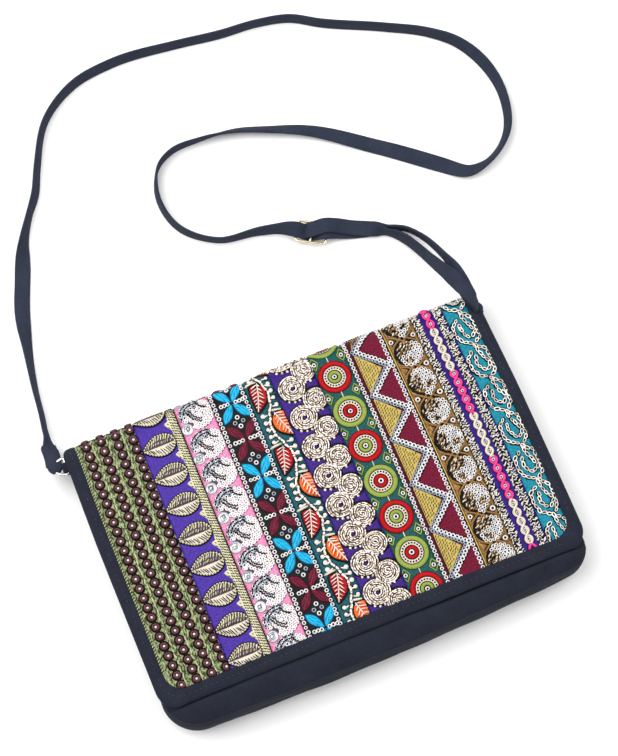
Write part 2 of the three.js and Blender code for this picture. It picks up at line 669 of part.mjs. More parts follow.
// Height of the band's middle when its lower edge is lifted by lift and its width is rolled.
function bandHeight(lift, roll) {
  const angle = THREE.MathUtils.degToRad(roll);
  const across = Math.abs(Math.sin(angle)) * STRAP.width + Math.abs(Math.cos(angle)) * STRAP.thickness;
  return Math.max(lift, 0) + across / 2 + STRAP.clearance;
}

function bandAlong(route) {
  const rows = smoothRows(route, 2);
  const points = rows.map(([x, y, lift, roll]) => new THREE.Vector3(x, y, bandHeight(lift, roll)));
  const halfWidth = STRAP.width / 2;
  const halfThick = STRAP.thickness / 2;
  const section = [
    [-halfWidth, -halfThick], [halfWidth, -halfThick], [halfWidth, halfThick], [-halfWidth, halfThick],
  ];
  const stations = points.map((point, i) => {
    const before = points[Math.max(i - 1, 0)];
    const after = points[Math.min(i + 1, points.length - 1)];
    const along = after.clone().sub(before).normalize();
    const level = new THREE.Vector3(-along.y, along.x, 0).normalize();
    const side = level.applyAxisAngle(along, THREE.MathUtils.degToRad(rows[i][3]));
    return { point, side, up: along.clone().cross(side) };
  });
  return sweep(stations, section, false);
}
addPiece('strap', bandAlong(STRAP_ROUTE), CLOTH.strap, 0.85);
addPiece('strap_return', bandAlong(RETURN_ROUTE), CLOTH.strap, 0.85);

// Slider: a wire frame with a bar across its middle.
function slider() {
  const halfLength = SLIDER.length / 2 - SLIDER.wire - SLIDER.corner;
  const halfWidth = SLIDER.width / 2 - SLIDER.wire - SLIDER.corner;
  const path = [];
  const cornerSteps = 3;
  for (const [signX, signY, from] of [[1, 1, 0], [-1, 1, 90], [-1, -1, 180], [1, -1, 270]]) {
    for (let i = 0; i <= cornerSteps; i += 1) {
      const angle = THREE.MathUtils.degToRad(from + (90 * i) / cornerSteps);
      const x = signX * halfLength + SLIDER.corner * Math.cos(angle);
      const y = signY * halfWidth + SLIDER.corner * Math.sin(angle);
      path.push(new THREE.Vector3(x, y, 0));
    }
  }
  const wire = roundSection(SLIDER.wire, SLIDER.sides);
  const frame = sweep(flatStations(path, true), wire, true);
  const barLength = SLIDER.width - 2 * SLIDER.wire;
  const bar = new THREE.CylinderGeometry(SLIDER.wire, SLIDER.wire, barLength, SLIDER.sides);
  return fuse(frame, [bar]);
}
const sliderMesh = addPiece('strap_slider', slider(), METAL.slider, 0.3, 1);
sliderMesh.position.set(SLIDER.x, SLIDER.y, SLIDER.z);
sliderMesh.rotation.z = THREE.MathUtils.degToRad(SLIDER.heading);

for (const mesh of clutchBag.children) {
  mesh.position.x += BAG_OFFSET;
}

export default clutchBag;
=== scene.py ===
"""Dresses a flap clutch bag that lies on its back: cloth, eleven embroidered trims, a long strap and metal."""
import math

import bpy
import numpy as np
from mathutils import Matrix, Vector


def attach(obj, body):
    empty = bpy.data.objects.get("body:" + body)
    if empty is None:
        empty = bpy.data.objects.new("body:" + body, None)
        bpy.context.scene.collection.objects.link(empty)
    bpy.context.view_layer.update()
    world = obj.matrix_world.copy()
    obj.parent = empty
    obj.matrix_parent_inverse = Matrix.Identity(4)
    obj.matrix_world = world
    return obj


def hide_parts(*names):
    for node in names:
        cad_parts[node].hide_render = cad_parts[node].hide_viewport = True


bl_info = {
    "name": "Flap clutch bag",
    "version": (1, 0, 0),
    "blender": (4, 5, 0),
    "location": "View3D > Sidebar > Clutch bag",
    "description": "Builds a cloth clutch bag with a flap of embroidered trims and a long strap",
    "category": "Object",
}

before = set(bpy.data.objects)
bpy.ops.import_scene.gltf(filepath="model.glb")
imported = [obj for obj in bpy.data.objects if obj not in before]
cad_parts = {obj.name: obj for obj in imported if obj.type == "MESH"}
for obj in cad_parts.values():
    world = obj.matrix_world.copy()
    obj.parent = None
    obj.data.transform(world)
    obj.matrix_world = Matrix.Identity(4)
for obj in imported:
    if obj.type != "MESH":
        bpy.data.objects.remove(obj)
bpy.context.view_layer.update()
MM = 0.001
UV_NAME = "flat_mm"


def linear(code):
    """Turns an sRGB hex colour into linear red, green and blue."""
    channels = [int(code[i:i + 2], 16) / 255 for i in (0, 2, 4)]
    return tuple(c / 12.92 if c <= 0.04045 else ((c + 0.055) / 1.055) ** 2.4 for c in channels)


# Sizes and colours that a maker would change


def length_property(name, millimetres, description):
    """A length that shows in the panel, with its default given in millimetres."""
    return bpy.props.FloatProperty(
        name=name, description=description, default=millimetres * MM, unit="LENGTH", precision=4)


def colour_property(name, code, description):
    """A colour that shows in the panel, with its default given as sRGB hex."""
    return bpy.props.FloatVectorProperty(
        name=name, description=description, subtype="COLOR", size=3, min=0, max=1, default=linear(code))


class ClutchSizes(bpy.types.PropertyGroup):
    """Sizes of the bag."""

    bag_offset: length_property("Bag offset", 3.85, "How far the flap's middle lies right of the outline's middle")
    pouch_half_width: length_property("Pouch half width", 132, "From the pouch's middle to its side seam")
    pouch_bottom: length_property("Pouch bottom", -90.2, "Where the pouch's lower corners end")
    pouch_mouth: length_property("Pouch mouth", 80, "Where the front panel and the gusset end at the mouth")
    pouch_corner: length_property("Pouch corner", 17, "Radius of the pouch's lower corners")
    flap_half_width: length_property("Flap half width", 137, "From the flap's middle to its side edge")
    flap_free_edge: length_property("Flap free edge", -79, "Where the closed flap ends on the front")
    fold_start: length_property("Fold start", 81, "Where the flap begins to turn over the top of the bag")
    fold_reach: length_property("Fold reach", 12.8, "How far the fold stands past its start")
    back_seam: length_property("Back seam", 66, "Where the flap is sewn to the back panel")
    flap_wall: length_property("Flap thickness", 2.6, "Thickness of the padded flap")
    free_edge_height: length_property("Height at the free edge", 38, "Height of the flap's face at its free edge")
    fold_height: length_property("Height at the fold", 32, "Height of the flap's face where the fold begins")
    binding_width: length_property("Binding width", 9, "Width of the plain cloth that frames the trims")
    strap_width: length_property("Strap width", 10, "Width of the strap")
    strap_thickness: length_property("Strap thickness", 1.8, "Thickness of the folded and sewn strap")
    ring_reach: length_property("Ring reach", 7.4, "From a ring's straight bar to the middle of its arc")
    ring_wire: length_property("Ring wire", 1.1, "Radius of the rings' wire")
    slider_length: length_property("Slider length", 21, "Length of the slider along the strap")
    slider_width: length_property("Slider width", 15, "Width of the slider across the strap")
    slider_wire: length_property("Slider wire", 0.8, "Radius of the slider's wire")

    def mm(self, *names):
        """The named sizes in millimetres."""
        return [getattr(self, name) / MM for name in names]


class ClutchColours(bpy.types.PropertyGroup):
    """Colours of the cloth, threads and trimmings."""

    cloth: colour_property("Bag cloth", "22252f", "Twill of the pouch, flap and binding")
    strap: colour_property("Strap", "2b303d", "Twill of the strap")
    hem_stitch: colour_property("Hem stitches", "3c3e4a", "Thread that shows along the flap's edge")
    sage: colour_property("Sage", "8f986c", "Ground of the beaded brocade")
    pale_sage: colour_property("Pale sage", "b4bb90", "Raised ribs of the beaded brocade")
    olive: colour_property("Olive", "3c4228", "Dark flecks of the beaded brocade")
    bead: colour_property("Beads", "45161d", "Ring beads on the brocade")
    violet: colour_property("Violet", "41288e", "Ground of the leaf trim")
    pink: colour_property("Pink", "e083ac", "Ground of the disc trim")
    # Black floss also paints shade: the dark beds, rims and under-cords that lie round and under raised work on the
    # trims.
    black: colour_property("Black", "060508", "Ground of the flower trim and dark stitches")
    teal: colour_property("Teal", "0e4c56", "Ground of the vine trim")
    purple: colour_property("Purple", "341872", "Ground of the rosette trim")
    sea_green: colour_property("Sea green", "0e4d4e", "Ground of the roundel trim")
    tan: colour_property("Tan", "96703e", "Ground of the cluster trim")
    deep_purple: colour_property("Deep purple", "280f72", "Ground of the diamond trim")
    turquoise: colour_property("Turquoise", "0c7c90", "Ground of the scroll trim")
    cream: colour_property("Cream", "dfd4c2", "Cream embroidery thread")
    straw: colour_property("Straw", "dad4b0", "Pale thread of the leaves and braids")
    mauve: colour_property("Mauve", "4e3e4a", "Dark stitches on the leaves")
    brown: colour_property("Brown", "38281c", "Brown thread between cords")
    sky: colour_property("Sky blue", "22b2de", "Blue petals")
    deep_sky: colour_property("Deep blue", "0b6d94", "Edges of the blue petals")
    wine: colour_property("Wine", "6e1a32", "Wine red petals and triangles")
    # Deep wine and red also paint the shadows under the vine leaves' veins.
    deep_wine: colour_property("Deep wine", "3c0c16", "Edges of the wine red petals")
    red: colour_property("Red", "b40a14", "Red leaves and roundels")
    orange: colour_property("Orange", "e4681c", "Orange leaves")
    lime: colour_property("Lime", "92a348", "Lime roundels")
    gold: colour_property("Gold", "c8b060", "Gold thread of the triangles")
    rose: colour_property("Rose", "ee4090", "Rose stretches of the diamond chain")
    shell: colour_property("Shell", "f4e9e0", "Pale chain of the scrolls")
    # Silver also paints the highlight in the beads' holes.
    silver: colour_property("Silver", "dddada", "Silver white sequins")
    smoke: colour_property("Smoke", "8f97a6", "Blue grey sequins")
    steel: colour_property("Steel", "d6d6d4", "Rings")
    pale_gold: colour_property("Pale gold", "ecd9b4", "Slider")


# Materials


def add_node(tree, kind, settings=(), links=()):
    """Adds a node; settings are its own attributes or its input sockets, links lead to its input sockets."""
    made = tree.nodes.new(kind)
    for key, value in dict(settings).items():
        if isinstance(key, int) or key in made.inputs:
            made.inputs[key].default_value = value
        else:
            setattr(made, key, value)
    for socket, source in dict(links).items():
        tree.links.new(source, made.inputs[socket])
    return made


def set_sockets(shader, values):
    """Sets numbers that are the same all over the surface."""
    for socket, value in values.items():
        shader.inputs[socket].default_value = value


def wave_scale(spacing):
    """Scale of a wave texture whose bands are spacing millimetres apart; at scale 1 they are 2 pi / 20 apart."""
    return 2 * math.pi / 20 / spacing


def shade(colour, amount):
    """The colour made darker or lighter, by one amount or one for each channel, with full opacity."""
    return (*[min(channel * part, 1) for channel, part in zip(colour, np.broadcast_to(amount, 3))], 1)


def toned(tree, shader, colour, tones, share, height=None, relief=(0, 0)):
    """Colours a surface between two tones of its colour by a pattern's share, and raises it by a pattern's height;
    relief is the strength of that and its depth in metres."""
    dark, light = (shade(colour, tone) for tone in tones)
    mixed = add_node(tree, "ShaderNodeMix", {"data_type": "RGBA", 6: dark, 7: light}, {0: share})
    tree.links.new(mixed.outputs[2], shader.inputs["Base Color"])
    if height:
        bump = add_node(tree, "ShaderNodeBump", {"Strength": relief[0], "Distance": relief[1]}, {"Height": height})
        tree.links.new(bump.outputs[0], shader.inputs["Normal"])


def flecked(tree, place, scale, detail, low, high):
    """Soft noise, and the clear flecks that it makes between two of its levels."""
    noise = add_node(tree, "ShaderNodeTexNoise", {"Scale": scale, "Detail": detail}, {"Vector": place})
    sharp = add_node(tree, "ShaderNodeMapRange", {"From Min": low, "From Max": high}, {"Value": noise.outputs[0]})
    return noise.outputs[0], sharp.outputs[0]


# Polyester twill, woven from spun yarn and piece dyed: matt and dark, with fine diagonal ribs, a mottled grain that
# starts at 16 mm and a faint bloom at its turned edges. The ribs are 0.5 mm apart and are drawn at 1.1 mm so that
# they show.
def twill(tree, shader, colour):
    flat = add_node(tree, "ShaderNodeUVMap", {"uv_map": UV_NAME}).outputs[0]
    slant = add_node(tree, "ShaderNodeMapping", {"Rotation": (0, 0, math.radians(38))}, {"Vector": flat})
    ribs = add_node(tree, "ShaderNodeTexWave", {"Scale": wave_scale(1.1), "Distortion": 0.8, "Detail": 1},
                    {"Vector": slant.outputs[0]})
    grain = add_node(tree, "ShaderNodeTexNoise", {"Scale": 1 / 16, "Detail": 6, "Roughness": 0.8}, {"Vector": flat})
    toned(tree, shader, colour, (0.5, 1.6), grain.outputs[0], ribs.outputs["Fac"], (0.25, 0.0004))
    set_sockets(shader, {"Roughness": 0.85, "Specular IOR Level": 0.05, "Sheen Weight": 0.02, "Sheen Roughness": 0.5})


# Polyester satin ribbon, woven with long floats: a smooth face with a soft sheen, faint lengthwise threads and
# 1.1 mm flecks where floats end. Threads are 0.3 mm apart and are drawn at 0.9 mm so that they show.
def satin(tree, shader, colour):
    flat = add_node(tree, "ShaderNodeUVMap", {"uv_map": UV_NAME}).outputs[0]
    threads = add_node(tree, "ShaderNodeTexWave", {"Scale": wave_scale(0.9), "Distortion": 0.7, "Detail": 2},
                       {"Vector": flat})
    flecks = flecked(tree, flat, 1 / 1.1, 3, 0.36, 0.66)[1]
    toned(tree, shader, colour, (0.6, 1.3), flecks, threads.outputs["Fac"], (0.2, 0.0003))
    set_sockets(shader, {"Roughness": 0.55, "Specular IOR Level": 0.16})


# Viscose brocade, woven with floating wefts: light flecks that run lengthwise over a darker ground.
# The flecks are about 0.9 mm wide and 3 mm long.
def brocade(tree, shader, colour):
    flat = add_node(tree, "ShaderNodeUVMap", {"uv_map": UV_NAME}).outputs[0]
    drawn = add_node(tree, "ShaderNodeMapping", {"Scale": (1 / 0.9, 1 / 3, 1)}, {"Vector": flat})
    flecks = flecked(tree, drawn.outputs[0], 1, 2, 0.4, 0.62)[1]
    toned(tree, shader, colour, (0.5, 1.3), flecks, flecks, (0.5, 0.0005))
    set_sockets(shader, {"Roughness": 0.7, "Specular IOR Level": 0.2})


# Rayon embroidery floss, laid side by side in satin stitch: lustrous ridges that run with the stitch.
# Threads are 0.4 mm apart and are drawn at 0.8 mm so that they show.
def floss(tree, shader, colour):
    flat = add_node(tree, "ShaderNodeUVMap", {"uv_map": UV_NAME}).outputs[0]
    ridges = add_node(tree, "ShaderNodeTexWave", {"bands_direction": "Y", "Scale": wave_scale(0.8), "Distortion": 1.2,
                                                  "Detail": 2}, {"Vector": flat})
    toned(tree, shader, colour, (0.62, 1.18), ridges.outputs["Fac"], ridges.outputs["Fac"], (0.5, 0.0004))
    set_sockets(shader, {"Roughness": 0.45, "Specular IOR Level": 0.14})


# Gimp cord, cotton floss wound on a core: dull cream with brown flecks of about 1.3 mm where the core shows.
def gimp(tree, shader, colour):
    flat = add_node(tree, "ShaderNodeUVMap", {"uv_map": UV_NAME}).outputs[0]
    flecks = flecked(tree, flat, 1 / 1.3, 2, 0.41, 0.54)[1]
    toned(tree, shader, colour, ((0.34, 0.27, 0.2), 1.1), flecks, flecks, (0.3, 0.0003))
    set_sockets(shader, {"Roughness": 0.6, "Specular IOR Level": 0.2})


# Metallised polyester thread wound on a core: floss with a broken metal glint.
def metal_thread(tree, shader, colour):
    floss(tree, shader, colour)
    set_sockets(shader, {"Metallic": 0.15, "Roughness": 0.36})


# Pressed film sequins: thin glossy rings that catch the light one by one. The tone changes every 2.5 mm, from
# sequin to sequin.
def sequin(tree, shader, colour):
    flat = add_node(tree, "ShaderNodeUVMap", {"uv_map": UV_NAME}).outputs[0]
    tone = add_node(tree, "ShaderNodeTexNoise", {"Scale": 1 / 2.5, "Detail": 1}, {"Vector": flat})
    toned(tree, shader, colour, (0.72, 1.1), tone.outputs[0])
    set_sockets(shader, {"Metallic": 0.15, "Roughness": 0.22, "Coat Weight": 0.4, "Coat Roughness": 0.08})


# Lamp worked glass beads: deep coloured and glossy. The tone changes every 4 mm, from bead to bead.
def glass(tree, shader, colour):
    flat = add_node(tree, "ShaderNodeUVMap", {"uv_map": UV_NAME}).outputs[0]
    tone = add_node(tree, "ShaderNodeTexNoise", {"Scale": 1 / 4, "Detail": 2}, {"Vector": flat})
    toned(tree, shader, colour, (0.55, 1.5), tone.outputs[0])
    set_sockets(shader, {"Roughness": 0.25, "IOR": 1.52, "Specular IOR Level": 0.3})


# Cut velvet: short upright pile, dark from above and bright along its edges. Tufts are drawn 0.8 mm wide so that
# they show.
def velvet(tree, shader, colour):
    flat = add_node(tree, "ShaderNodeUVMap", {"uv_map": UV_NAME}).outputs[0]
    pile, tufts = flecked(tree, flat, 1 / 0.8, 3, 0.36, 0.66)
    toned(tree, shader, colour, (0.4, 1.25), tufts, pile, (0.3, 0.0003))
    set_sockets(shader, {"Roughness": 0.9, "Specular IOR Level": 0.08, "Sheen Weight": 0.05})


# Drawn and plated wire: bright, with a faint haze of wear that breaks the reflections every 1.7 mm, 600 times in
# a metre.
def plated_wire(tree, shader, colour):
    place = add_node(tree, "ShaderNodeTexCoord")
    wear = add_node(tree, "ShaderNodeTexNoise", {"Scale": 600, "Detail": 3}, {"Vector": place.outputs["Object"]})
    haze = add_node(tree, "ShaderNodeMapRange", {"To Min": 0.12, "To Max": 0.34}, {"Value": wear.outputs[0]})
    tree.links.new(haze.outputs[0], shader.inputs["Roughness"])
    set_sockets(shader, {"Base Color": shade(colour, 1), "Metallic": 1})


def dyed(recipe, kind, *colours):
    """A finish of one kind in each colour."""
    return {f"{colour} {kind}": (recipe, colour.replace(" ", "_")) for colour in colours}


RECIPES = {
    "polyester twill": (twill, "cloth"), "strap twill": (twill, "strap"), "hem thread": (floss, "hem_stitch"),
    "maroon glass": (glass, "bead"), "cream gimp cord": (gimp, "shell"), "gold floss": (metal_thread, "gold"),
    "plated steel": (plated_wire, "steel"), "gold plated wire": (plated_wire, "pale_gold"),
    **dyed(velvet, "velvet", "wine"), **dyed(brocade, "brocade", "sage", "tan"),
    **dyed(sequin, "sequin", "silver", "smoke"),
    **dyed(satin, "satin", "violet", "pink", "black", "teal", "purple", "sea green", "deep purple", "turquoise"),
    **dyed(floss, "floss", "cream", "straw", "olive", "pale sage", "brown", "deep sky", "deep wine", "smoke", "tan",
           "mauve", "black", "sky", "wine", "red", "orange", "lime", "rose", "shell"),
}


def finish(name):
    """The named material, made on first use."""
    if name in bpy.data.materials:
        return bpy.data.materials[name]
    recipe, colour = RECIPES[name]
    material = bpy.data.materials.new(name)
    material.use_nodes = True
    shader = material.node_tree.nodes["Principled BSDF"]
    recipe(material.node_tree, shader, tuple(getattr(bpy.context.scene.clutch_colours, colour)))
    return material


# Plans and paths, in millimetres


def unit(vectors):
    """Rows made one long."""
    return vectors / np.linalg.norm(vectors, axis=1)[:, None]


def run_along(path):
    """Distance along a path at each of its points."""
    return np.concatenate([[0], np.cumsum(np.linalg.norm(np.diff(path, axis=0), axis=1))])


def all_round(count):
    """Angles spaced evenly all round."""
    return np.linspace(0, 2 * np.pi, count, endpoint=False)


def polar(angle, across, along=None):
    """Points at angles about the middle, on a circle or an oval."""
    return np.stack([across * np.cos(angle), (across if along is None else along) * np.sin(angle)], -1)


def lifted(plan, lift):
    """A path over a plan, at one lift or at one for each point."""
    return np.column_stack([plan, np.broadcast_to(lift, len(plan))])


def closed(outline):
    """An outline that ends where it starts."""
    return np.concatenate([outline, outline[:1]])


def through(corners, steps):
    """Points on straight runs from corner to corner, without the last corner."""
    return np.concatenate([np.linspace(a, b, steps)[:-1] for a, b in zip(corners[:-1], corners[1:])])


def oval_path(across, along, lift, steps=28):
    """A closed oval path."""
    return lifted(polar(np.linspace(0, 2 * np.pi, steps + 1), across, along), lift)


def lengthwise(x, end):
    """A straight path along a trim."""
    return lifted(column(x, np.linspace(8, end, 60)), 0)


def leaf_outline(length, girth, widest=0.5, steps=14, blunt=True):
    """A leaf along x, its tip at the left and its widest place at a share of its length; the other end is blunt
    or pointed."""
    t = (1 - np.cos(np.linspace(0, np.pi, steps))) / 2
    opening = np.sin(np.pi / 2 * np.clip(t / widest, 0, 1)) ** 0.85
    fall = np.clip((t - widest) / (1 - widest), 0, 1)
    closing = np.sqrt(1 - fall ** 2) if blunt else np.cos(np.pi / 2 * fall) ** 0.85
    x, half = length * (t - 0.5), girth / 2 * opening * closing
    return np.concatenate([np.stack([x, -half], -1), np.stack([x, half], -1)[-2:0:-1]])


def smooth_curve(points, steps):
    """Points on one smooth curve through the given ones; its first two columns are its plan."""
    points = np.array(points, float)
    span = np.linalg.norm(np.diff(points[:, :2], axis=0), axis=1)[:, None]
    slope = np.diff(points, axis=0) / span
    inner = (slope[:-1] * span[1:] + slope[1:] * span[:-1]) / (span[:-1] + span[1:])
    slopes = np.concatenate([slope[:1], inner, slope[-1:]])
    t = (np.arange(steps) / steps)[None, :, None]
    ease = t * t * (3 - 2 * t)
    bend = slopes[:-1, None] * (1 - t) - slopes[1:, None] * t
    rows = points[:-1, None] + (points[1:, None] - points[:-1, None]) * ease + span[:, None] * t * (1 - t) * bend
    return np.concatenate([rows.reshape(-1, points.shape[1]), points[-1:]])


def curve_round(points, steps):
    """A smooth closed outline through the given points."""
    return smooth_curve([*points[-2:], *points, *points[:3]], steps)[2 * steps:(2 + len(points)) * steps]


def spaced(curve, pitch):
    """Spots one pitch apart along a curve, and the heading at each in degrees."""
    run = run_along(curve[:, :2])

    def at(places):
        return np.stack([np.interp(places, run, curve[:, k]) for k in range(2)], -1)

    places = np.arange(pitch / 2, run[-1], pitch)
    ahead = at(places + 0.2) - at(places - 0.2)
    return at(places), np.degrees(np.arctan2(ahead[:, 1], ahead[:, 0]))


def around(centres, offsets):
    """Spots at each offset about each centre."""
    return (np.asarray(centres, float)[:, None] + np.asarray(offsets, float)[None]).reshape(-1, 2)


def towards(degrees):
    """A step of one in a direction."""
    return polar(math.radians(degrees), 1)


def repeats(first, pitch, end, growth=0.0):
    """Places along a trim from the first, one pitch apart; the pitch grows where the trim was stretched."""
    k = np.arange(int((end - first) / pitch) + 2)
    places = first + pitch * k + growth * k * k
    return places[places < end]


def column(x, places):
    """Spots at one x."""
    return np.stack([np.full(len(places), x), places], -1)


# Shapes: each is points, four-cornered faces and flat coordinates, in millimetres


def grid_faces(columns, rows, closed_rows=False):
    """Faces of a grid of points numbered column by column."""
    i = np.arange(columns - 1)[:, None]
    j = np.arange(rows if closed_rows else rows - 1)[None]
    k = (j + 1) % rows
    return np.stack([i * rows + j, (i + 1) * rows + j, (i + 1) * rows + k, i * rows + k], -1).reshape(-1, 4)


def flat_grid(run, girth):
    """Flat coordinates of a grid of points numbered column by column."""
    return np.stack([np.repeat(run, len(girth)), np.tile(girth, len(run))], -1)


def turned(profile, sides):
    """A ring or disc turned about its middle; the profile gives radius and height from the inside out."""
    radii, heights = np.array(profile, float).T
    angle = np.arange(sides) * (2 * np.pi / sides)
    points = np.stack([np.outer(radii, np.cos(angle)), np.outer(radii, np.sin(angle)),
                       np.repeat(heights[:, None], sides, 1)], -1)
    return points.reshape(-1, 3), grid_faces(len(radii), sides, True), flat_grid(radii, radii.max() * angle)


def round_bead(radius, wire, sides):
    """A ring bead lying on its side."""
    return turned(polar(np.linspace(np.pi, -np.pi, 9), wire) + (radius, 0), sides)


def swept(path, radius, sides=6):
    """A cord along a path with columns x, s and lift. A path that ends where it starts is a closed loop."""
    path = np.asarray(path, float)
    radius = np.broadcast_to(np.asarray(radius, float), len(path)).copy()
    if np.allclose(path[0], path[-1]):
        along = closed(np.roll(path[:-1], -1, 0) - np.roll(path[:-1], 1, 0))
    else:
        path = np.vstack([path[:1], path, path[-1:]])
        radius = np.concatenate([[radius[0] * 0.1], radius, [radius[-1] * 0.1]])
        along = np.gradient(path[1:-1], axis=0)
        along = np.vstack([along[:1], along, along[-1:]])
    along[:, 2] = 0
    along = unit(along)
    side = np.stack([-along[:, 1], along[:, 0], np.zeros(len(path))], -1)
    angle = (np.arange(sides) + 0.5) * (2 * np.pi / sides)
    points = (path[:, None] + side[:, None] * (radius[:, None] * np.cos(angle))[..., None]
              + np.array([0, 0, 1]) * (radius[:, None] * np.sin(angle))[..., None])
    flat = np.stack([np.repeat(run_along(path)[:, None], sides, 1), np.outer(radius, angle)], -1)
    return points.reshape(-1, 3), grid_faces(len(path), sides, True), flat.reshape(-1, 2)


def raised(outline, height, grain=0.0, flatness=3.0):
    """A padded form over an outline that turns left; its threads run at the grain angle in degrees."""
    outline = np.asarray(outline, float)
    middle = outline.mean(0)
    shares = np.array([0.02, 0.3, 0.55, 0.75, 0.88, 0.96, 1.0, 1.0])
    lifts = height * (1 - shares ** flatness) ** 0.6
    lifts[-1] = -0.3
    points = np.concatenate([middle + (outline[None] - middle) * shares[:, None, None],
                             np.broadcast_to(lifts[:, None, None], (len(shares), len(outline), 1))], -1)
    flat = points[..., :2] @ np.stack([towards(grain), towards(grain + 90)], -1)
    return points.reshape(-1, 3), grid_faces(len(shares), len(outline), True), flat.reshape(-1, 2)


def stitch(length, radius, rise=0.25):
    """One stitch along x that dips into the cloth at both ends."""
    x = np.linspace(-0.5, 0.5, 5)
    path = np.stack([x * length, np.zeros(5), rise * (1 - (2 * x) ** 2)], -1)
    return swept(path, radius * np.array([0.5, 0.9, 1, 0.9, 0.5]), 5)


def sheet(outer, inner):
    """A sheet with two faces and a closed rim, from two grids of points."""
    columns, rows = outer.shape[:2]
    points = np.stack([outer, inner]).reshape(-1, 3)
    top = grid_faces(columns, rows)
    under = columns * rows
    number = np.arange(under).reshape(columns, rows)
    rim = np.concatenate([number[:, 0], number[-1, 1:], number[-2::-1, -1], number[0, -2::-1]])
    rim_faces = np.stack([rim[1:], rim[:-1], rim[:-1] + under, rim[1:] + under], -1)
    return points, np.concatenate([top, top[:, ::-1] + under, rim_faces]), points[:, :2]


class Layout:
    """Shapes gathered for one piece, laid out flat in millimetres: x across, s along and lift out of the face."""

    seed = 11
    # Handwork that strays by a millimetre also turns by so many degrees and changes size by such a share
    turn_stray, size_stray = 40, 0.4
    # Farthest stray, as a multiple of the usual one
    most_stray = 2

    def __init__(self):
        self.points, self.flats, self.faces, self.slots, self.finishes = [], [], [], [], []
        self.total = 0
        self.hand = np.random.default_rng(self.seed)

    def add(self, shape, finish_name, spots=((0, 0),), turn=0.0, scale=1.0, lift=0.0, uneven=0.0):
        """Adds a shape at each spot. Turn in degrees and scale are one value or one for each spot. Handwork strays
        by about uneven millimetres, with as much in its turn and size."""
        points, faces, flat = shape
        spots = np.asarray(spots, float).reshape(-1, 2)
        count = len(spots)
        if count == 0:
            return
        stray = uneven * self.hand.standard_normal((count, 4)).clip(-self.most_stray, self.most_stray)
        spots = spots + stray[:, :2]
        angle = np.radians(np.broadcast_to(turn, count) + self.turn_stray * stray[:, 2])[:, None]
        size = (np.broadcast_to(scale, count) * (1 + self.size_stray * stray[:, 3]))[:, None]
        x = spots[:, :1] + size * (points[:, 0] * np.cos(angle) - points[:, 1] * np.sin(angle))
        s = spots[:, 1:] + size * (points[:, 0] * np.sin(angle) + points[:, 1] * np.cos(angle))
        self.points.append(np.stack([x, s, lift + size * points[:, 2]], -1).reshape(-1, 3))
        self.flats.append((flat[None] + spots[:, None]).reshape(-1, 2))
        step = self.total + len(points) * np.arange(count)
        self.faces.append((faces[None] + step[:, None, None]).reshape(-1, 4))
        if finish_name not in self.finishes:
            self.finishes.append(finish_name)
        self.slots.append(np.full(count * len(faces), self.finishes.index(finish_name)))
        self.total += count * len(points)

    def piece(self, name, place, slot, replaces=()):
        """Makes the gathered shapes one object, with each point put where place says, in millimetres."""
        mesh = bpy.data.meshes.new(name)
        faces = np.concatenate(self.faces)
        mesh.from_pydata((place(np.concatenate(self.points)) * MM).tolist(), [], faces.tolist())
        mesh.polygons.foreach_set("material_index", np.concatenate(self.slots).astype(np.int32))
        layer = mesh.uv_layers.new(name=UV_NAME)
        layer.data.foreach_set("uv", np.concatenate(self.flats)[faces.ravel()].astype(np.float32).ravel())
        mesh.shade_smooth()
        for finish_name in self.finishes:
            mesh.materials.append(finish(finish_name))
        made = bpy.data.objects.new(name, mesh)
        bpy.context.collection.objects.link(made)
        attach(made, "root")
        if replaces:
            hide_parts(*replaces)
        return made


# The flap's face

# Boundaries of the eleven trims across the flap, from left to right
TRIM_EDGES = (-129.7, -91.5, -64.4, -42.2, -19.1, -1.9, 24.9, 47.1, 74.1, 93.4, 114.4, 129.7)
TRIM_NAMES = ("trim_bead_brocade", "trim_leaf_violet", "trim_disc_pink", "trim_flower_black", "trim_vine_teal",
              "trim_rosette_purple", "trim_roundel_teal", "trim_triangle_sequin", "trim_cluster_tan",
              "trim_diamond_purple", "trim_scroll_turquoise")
# Lift of the trims' cloth above the flap
GROUND = 1.2


def smoothstep(value, low, high):
    """Rises softly from 0 at the low value to 1 at the high one."""
    t = np.clip((value - low) / (high - low), 0, 1)
    return t * t * (3 - 2 * t)


def corner_rise(x, half_width, radius):
    """How far a rounded lower corner lifts the edge at x."""
    into = np.clip(np.abs(x) - (half_width - radius), 0, radius)
    return radius - np.sqrt(radius * radius - into * into)


